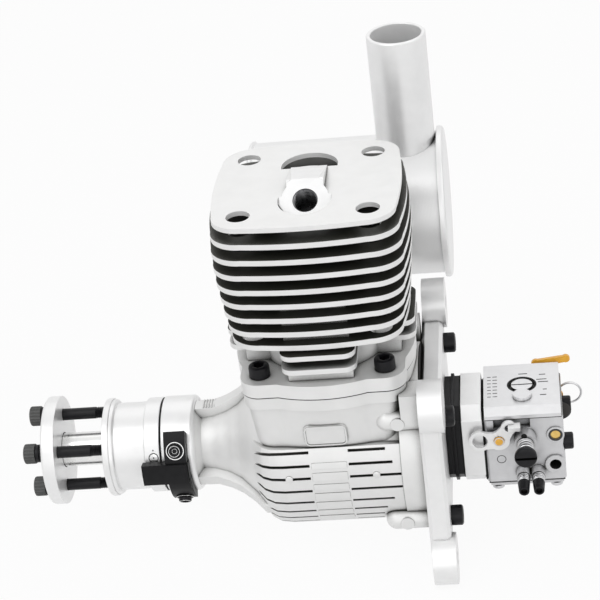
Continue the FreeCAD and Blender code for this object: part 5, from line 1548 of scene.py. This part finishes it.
@dataclass
class Silencer:
    """The spun can with its end cap and outlet tube. Sizes in millimetres."""

    can_radius: float = 31.0
    wall: float = 1.2
    cap_radius: float = 33.0
    tube_radius: float = 12.6
    tube_bore: float = 10.8
    centre: tuple[float, float] = (80.0, 66.0)

    def build(self, frame: dict) -> None:
        """Make every piece of the group.
        """
        low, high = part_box("muffler_can")
        length = (high.x - low.x) / MM
        origin = Vector((low.x, self.centre[0] * MM, self.centre[1] * MM))
        radius, wall = self.can_radius, self.wall
        profile = [
            (0, 0), (0, radius - 3.0), (0.2, radius - 1.4), (0.8, radius + 0.4), (1.3, radius + 0.85),
            (2.1, radius + 0.85), (2.6, radius + 0.4), (3.0, radius), (length, radius),
            (length, radius - wall), (wall, radius - wall), (wall, 0),
        ]
        can = finished("spun_can", turned(profile, origin, Axis.X, 160), SPUN, Body.BLOCK)
        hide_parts("muffler_can")
        low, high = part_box("muffler_end_cap")
        depth = (high.x - low.x) / MM
        cap_radius = self.cap_radius
        inner = depth - 1.4
        profile = [
            (0, radius + 0.03), (0, cap_radius - 0.2), (0.2, cap_radius), (depth - 1.2, cap_radius),
            (depth - 0.4, cap_radius - 0.35), (depth, cap_radius - 1.2), (depth, 0), (inner, 0),
            (inner, radius + 0.03), (0, radius + 0.03),
        ]
        cap_origin = Vector((low.x, origin.y, origin.z))
        cap = finished("pressed_end_cap", turned_cap(profile, cap_origin, Axis.X, 160), SPUN, Body.BLOCK)
        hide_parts("muffler_end_cap")
        low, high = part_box("exhaust_tube")
        height = (high.z - low.z) / MM
        outer, bore = self.tube_radius, self.tube_bore
        profile = [
            (0, bore), (0, outer), (height - 0.4, outer), (height, outer - 0.35), (height, bore + 0.3),
            (height - 0.3, bore), (0, bore),
        ]
        middle = Vector(((low.x + high.x) / 2, (low.y + high.y) / 2, low.z))
        tube = finished("outlet_tube", turned_ring(profile, middle, Axis.Z, 96), MILLED, Body.BLOCK)
        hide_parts("exhaust_tube")
        dress(frame, "exhaust_flange", MILLED, 0.3)
        dress(frame, "exhaust_gasket", BLACK_FIBRE_AND_SHADE)
        dress(frame, "exhaust_bolts", BLACK_OXIDE, 0.2)


@dataclass
class InnerWorks:
    """The running gear inside, which gets its finishes only."""

    steel: tuple[str, ...] = ("crankshaft", "connecting_rod", "rod_bearings", "wrist_pin_circlips")
    bright: tuple[str, ...] = (
        "bearing_balls", "bearing_inner_races", "bearing_outer_races", "wrist_pin", "crankpin",
    )

    def build(self, frame: dict) -> None:
        """Dress every node of the group.
        """
        for node in self.steel:
            dress(frame, node, GROUND)
        for node in self.bright:
            dress(frame, node, POLISHED)
        dress(frame, "piston", MILLED)
        dress(frame, "piston_rings", IRON)
        dress(frame, "front_oil_seal", RUBBER)


# Studio


@dataclass
class Studio:
    """Floor, lamps, white surround and the camera fitted to the photograph."""

    yaw: float = 7.577
    elevation: float = 28.609
    roll: float = -7.356
    focal_px: float = 2156.95
    picture_px: float = 600.0
    aside: float = 15.919
    above: float = -56.415
    distance: float = 908.914
    surround: float = 0.5
    floor_glow: float = 0.93
    lamps: list[tuple[tuple[float, float, float], float, float]] = field(default_factory=lambda: [
        ((-0.45, -0.6, 0.9), 0.8, 3.2),
        ((0.15, -1.1, 0.15), 0.9, 2.0),
        ((0.8, -0.3, 0.5), 0.8, 1.4),
        ((0.0, 0.8, 0.9), 0.9, 1.2),
    ])

    def build(self) -> None:
        """Set up everything round the object."""
        low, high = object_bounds()
        self._floor(low.z)
        self._surround()
        middle = (low + high) / 2
        for number, (place, size, power) in enumerate(self.lamps):
            self._lamp(f"softbox_{number}", middle + Vector(place), middle, size, power)
        self._camera()
        bpy.context.scene.view_settings.view_transform = "Standard"

    def _floor(self, height: float) -> None:
        """A plain pale floor.

        Args:
            height: Its height in metres.
        """
        mesh = bmesh.new()
        bmesh.ops.create_grid(mesh, x_segments=1, y_segments=1, size=6.0)
        data = bpy.data.meshes.new("floor")
        mesh.to_mesh(data)
        mesh.free()
        floor = bpy.data.objects.new("floor", data)
        floor.location.z = height
        bpy.context.scene.collection.objects.link(floor)
        material = bpy.data.materials.new("pale_floor")
        material.use_nodes = True
        tree = material.node_tree
        shader = tree.nodes["Principled BSDF"]
        shader.inputs["Base Color"].default_value = (0.9, 0.9, 0.9, 1.0)
        shader.inputs["Roughness"].default_value = 0.9
        glow = tree.nodes.new("ShaderNodeEmission")
        glow.inputs["Strength"].default_value = 1.0
        share = tree.nodes.new("ShaderNodeMath")
        share.operation = "MULTIPLY"
        share.inputs[1].default_value = self.floor_glow
        mix = tree.nodes.new("ShaderNodeMixShader")
        tree.links.new(self._looked_at(tree), share.inputs[0])
        tree.links.new(share.outputs["Value"], mix.inputs["Fac"])
        tree.links.new(shader.outputs["BSDF"], mix.inputs[1])
        tree.links.new(glow.outputs["Emission"], mix.inputs[2])
        tree.links.new(mix.outputs["Shader"], tree.nodes["Material Output"].inputs["Surface"])
        data.materials.append(material)
        floor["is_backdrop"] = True

    def _looked_at(self, tree: bpy.types.NodeTree) -> bpy.types.NodeSocket:
        """A value that is 1 where the camera looks, directly, in a mirror or through glass.

        Args:
            tree: The node tree to add it to.

        Returns:
            The value.
        """
        path = tree.nodes.new("ShaderNodeLightPath")
        value = path.outputs["Is Camera Ray"]
        for name in ("Is Glossy Ray", "Is Transmission Ray"):
            either = tree.nodes.new("ShaderNodeMath")
            either.operation = "MAXIMUM"
            tree.links.new(value, either.inputs[0])
            tree.links.new(path.outputs[name], either.inputs[1])
            value = either.outputs["Value"]
        return value

    def _surround(self) -> None:
        """An even white surround, dimmer as a light than it looks."""
        world = bpy.data.worlds.new("surround")
        bpy.context.scene.world = world
        world.use_nodes = True
        tree = world.node_tree
        back = tree.nodes["Background"]
        back.inputs["Color"].default_value = (1.0, 1.0, 1.0, 1.0)
        back.inputs["Strength"].default_value = self.surround
        seen = tree.nodes.new("ShaderNodeBackground")
        seen.inputs["Color"].default_value = (1.0, 1.0, 1.0, 1.0)
        seen.inputs["Strength"].default_value = 1.0
        mix = tree.nodes.new("ShaderNodeMixShader")
        tree.links.new(self._looked_at(tree), mix.inputs["Fac"])
        tree.links.new(back.outputs["Background"], mix.inputs[1])
        tree.links.new(seen.outputs["Background"], mix.inputs[2])
        tree.links.new(mix.outputs["Shader"], tree.nodes["World Output"].inputs["Surface"])

    def _lamp(self, name: str, place: Vector, target: Vector, size: float, power: float) -> None:
        """A square soft lamp that points at the object.

        Args:
            name: The lamp's name.
            place: Where it stands.
            target: What it points at.
            size: Its side in metres.
            power: Its power in watts.
        """
        data = bpy.data.lights.new(name, "AREA")
        data.size = size
        data.energy = power
        lamp = bpy.data.objects.new(name, data)
        lamp.location = place
        lamp.rotation_mode = "QUATERNION"
        lamp.rotation_quaternion = (target - place).to_track_quat("-Z", "Y")
        bpy.context.scene.collection.objects.link(lamp)

    def _camera(self) -> None:
        """The camera, turned and placed so that the picture matches the photograph."""
        yaw, rise, tilt = (math.radians(a) for a in (self.yaw, self.elevation, self.roll))
        back = Vector((math.sin(yaw) * math.cos(rise), -math.cos(yaw) * math.cos(rise), math.sin(rise)))
        level = (-back).cross(Vector((0, 0, 1))).normalized()
        above = level.cross(-back)
        right = level * math.cos(tilt) + above * math.sin(tilt)
        up = above * math.cos(tilt) - level * math.sin(tilt)
        place = -(right * self.aside + up * self.above - back * self.distance)
        data = bpy.data.cameras.new("photo_camera")
        data.sensor_width = 36.0
        data.lens = data.sensor_width * self.focal_px / self.picture_px
        data.clip_start = 0.05
        camera = bpy.data.objects.new("photo_camera", data)
        pointed = Matrix((right, up, back)).transposed().to_4x4()
        camera.matrix_world = Matrix.Translation(vec(*place)) @ pointed
        bpy.context.scene.collection.objects.link(camera)
        bpy.context.scene.camera = camera


def main() -> None:
    """Build every group in order."""
    logging.basicConfig(level=logging.INFO, format="%(message)s")
    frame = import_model()
    groups = (
        BlockAndHead(), PropellerDrive(), IgnitionPickup(), IntakeStack(), CarburettorGroup(), Silencer(),
        InnerWorks(),
    )
    for group in groups:
        group.build(frame)
    Studio().build()


if __name__ == "__main__":
    main()
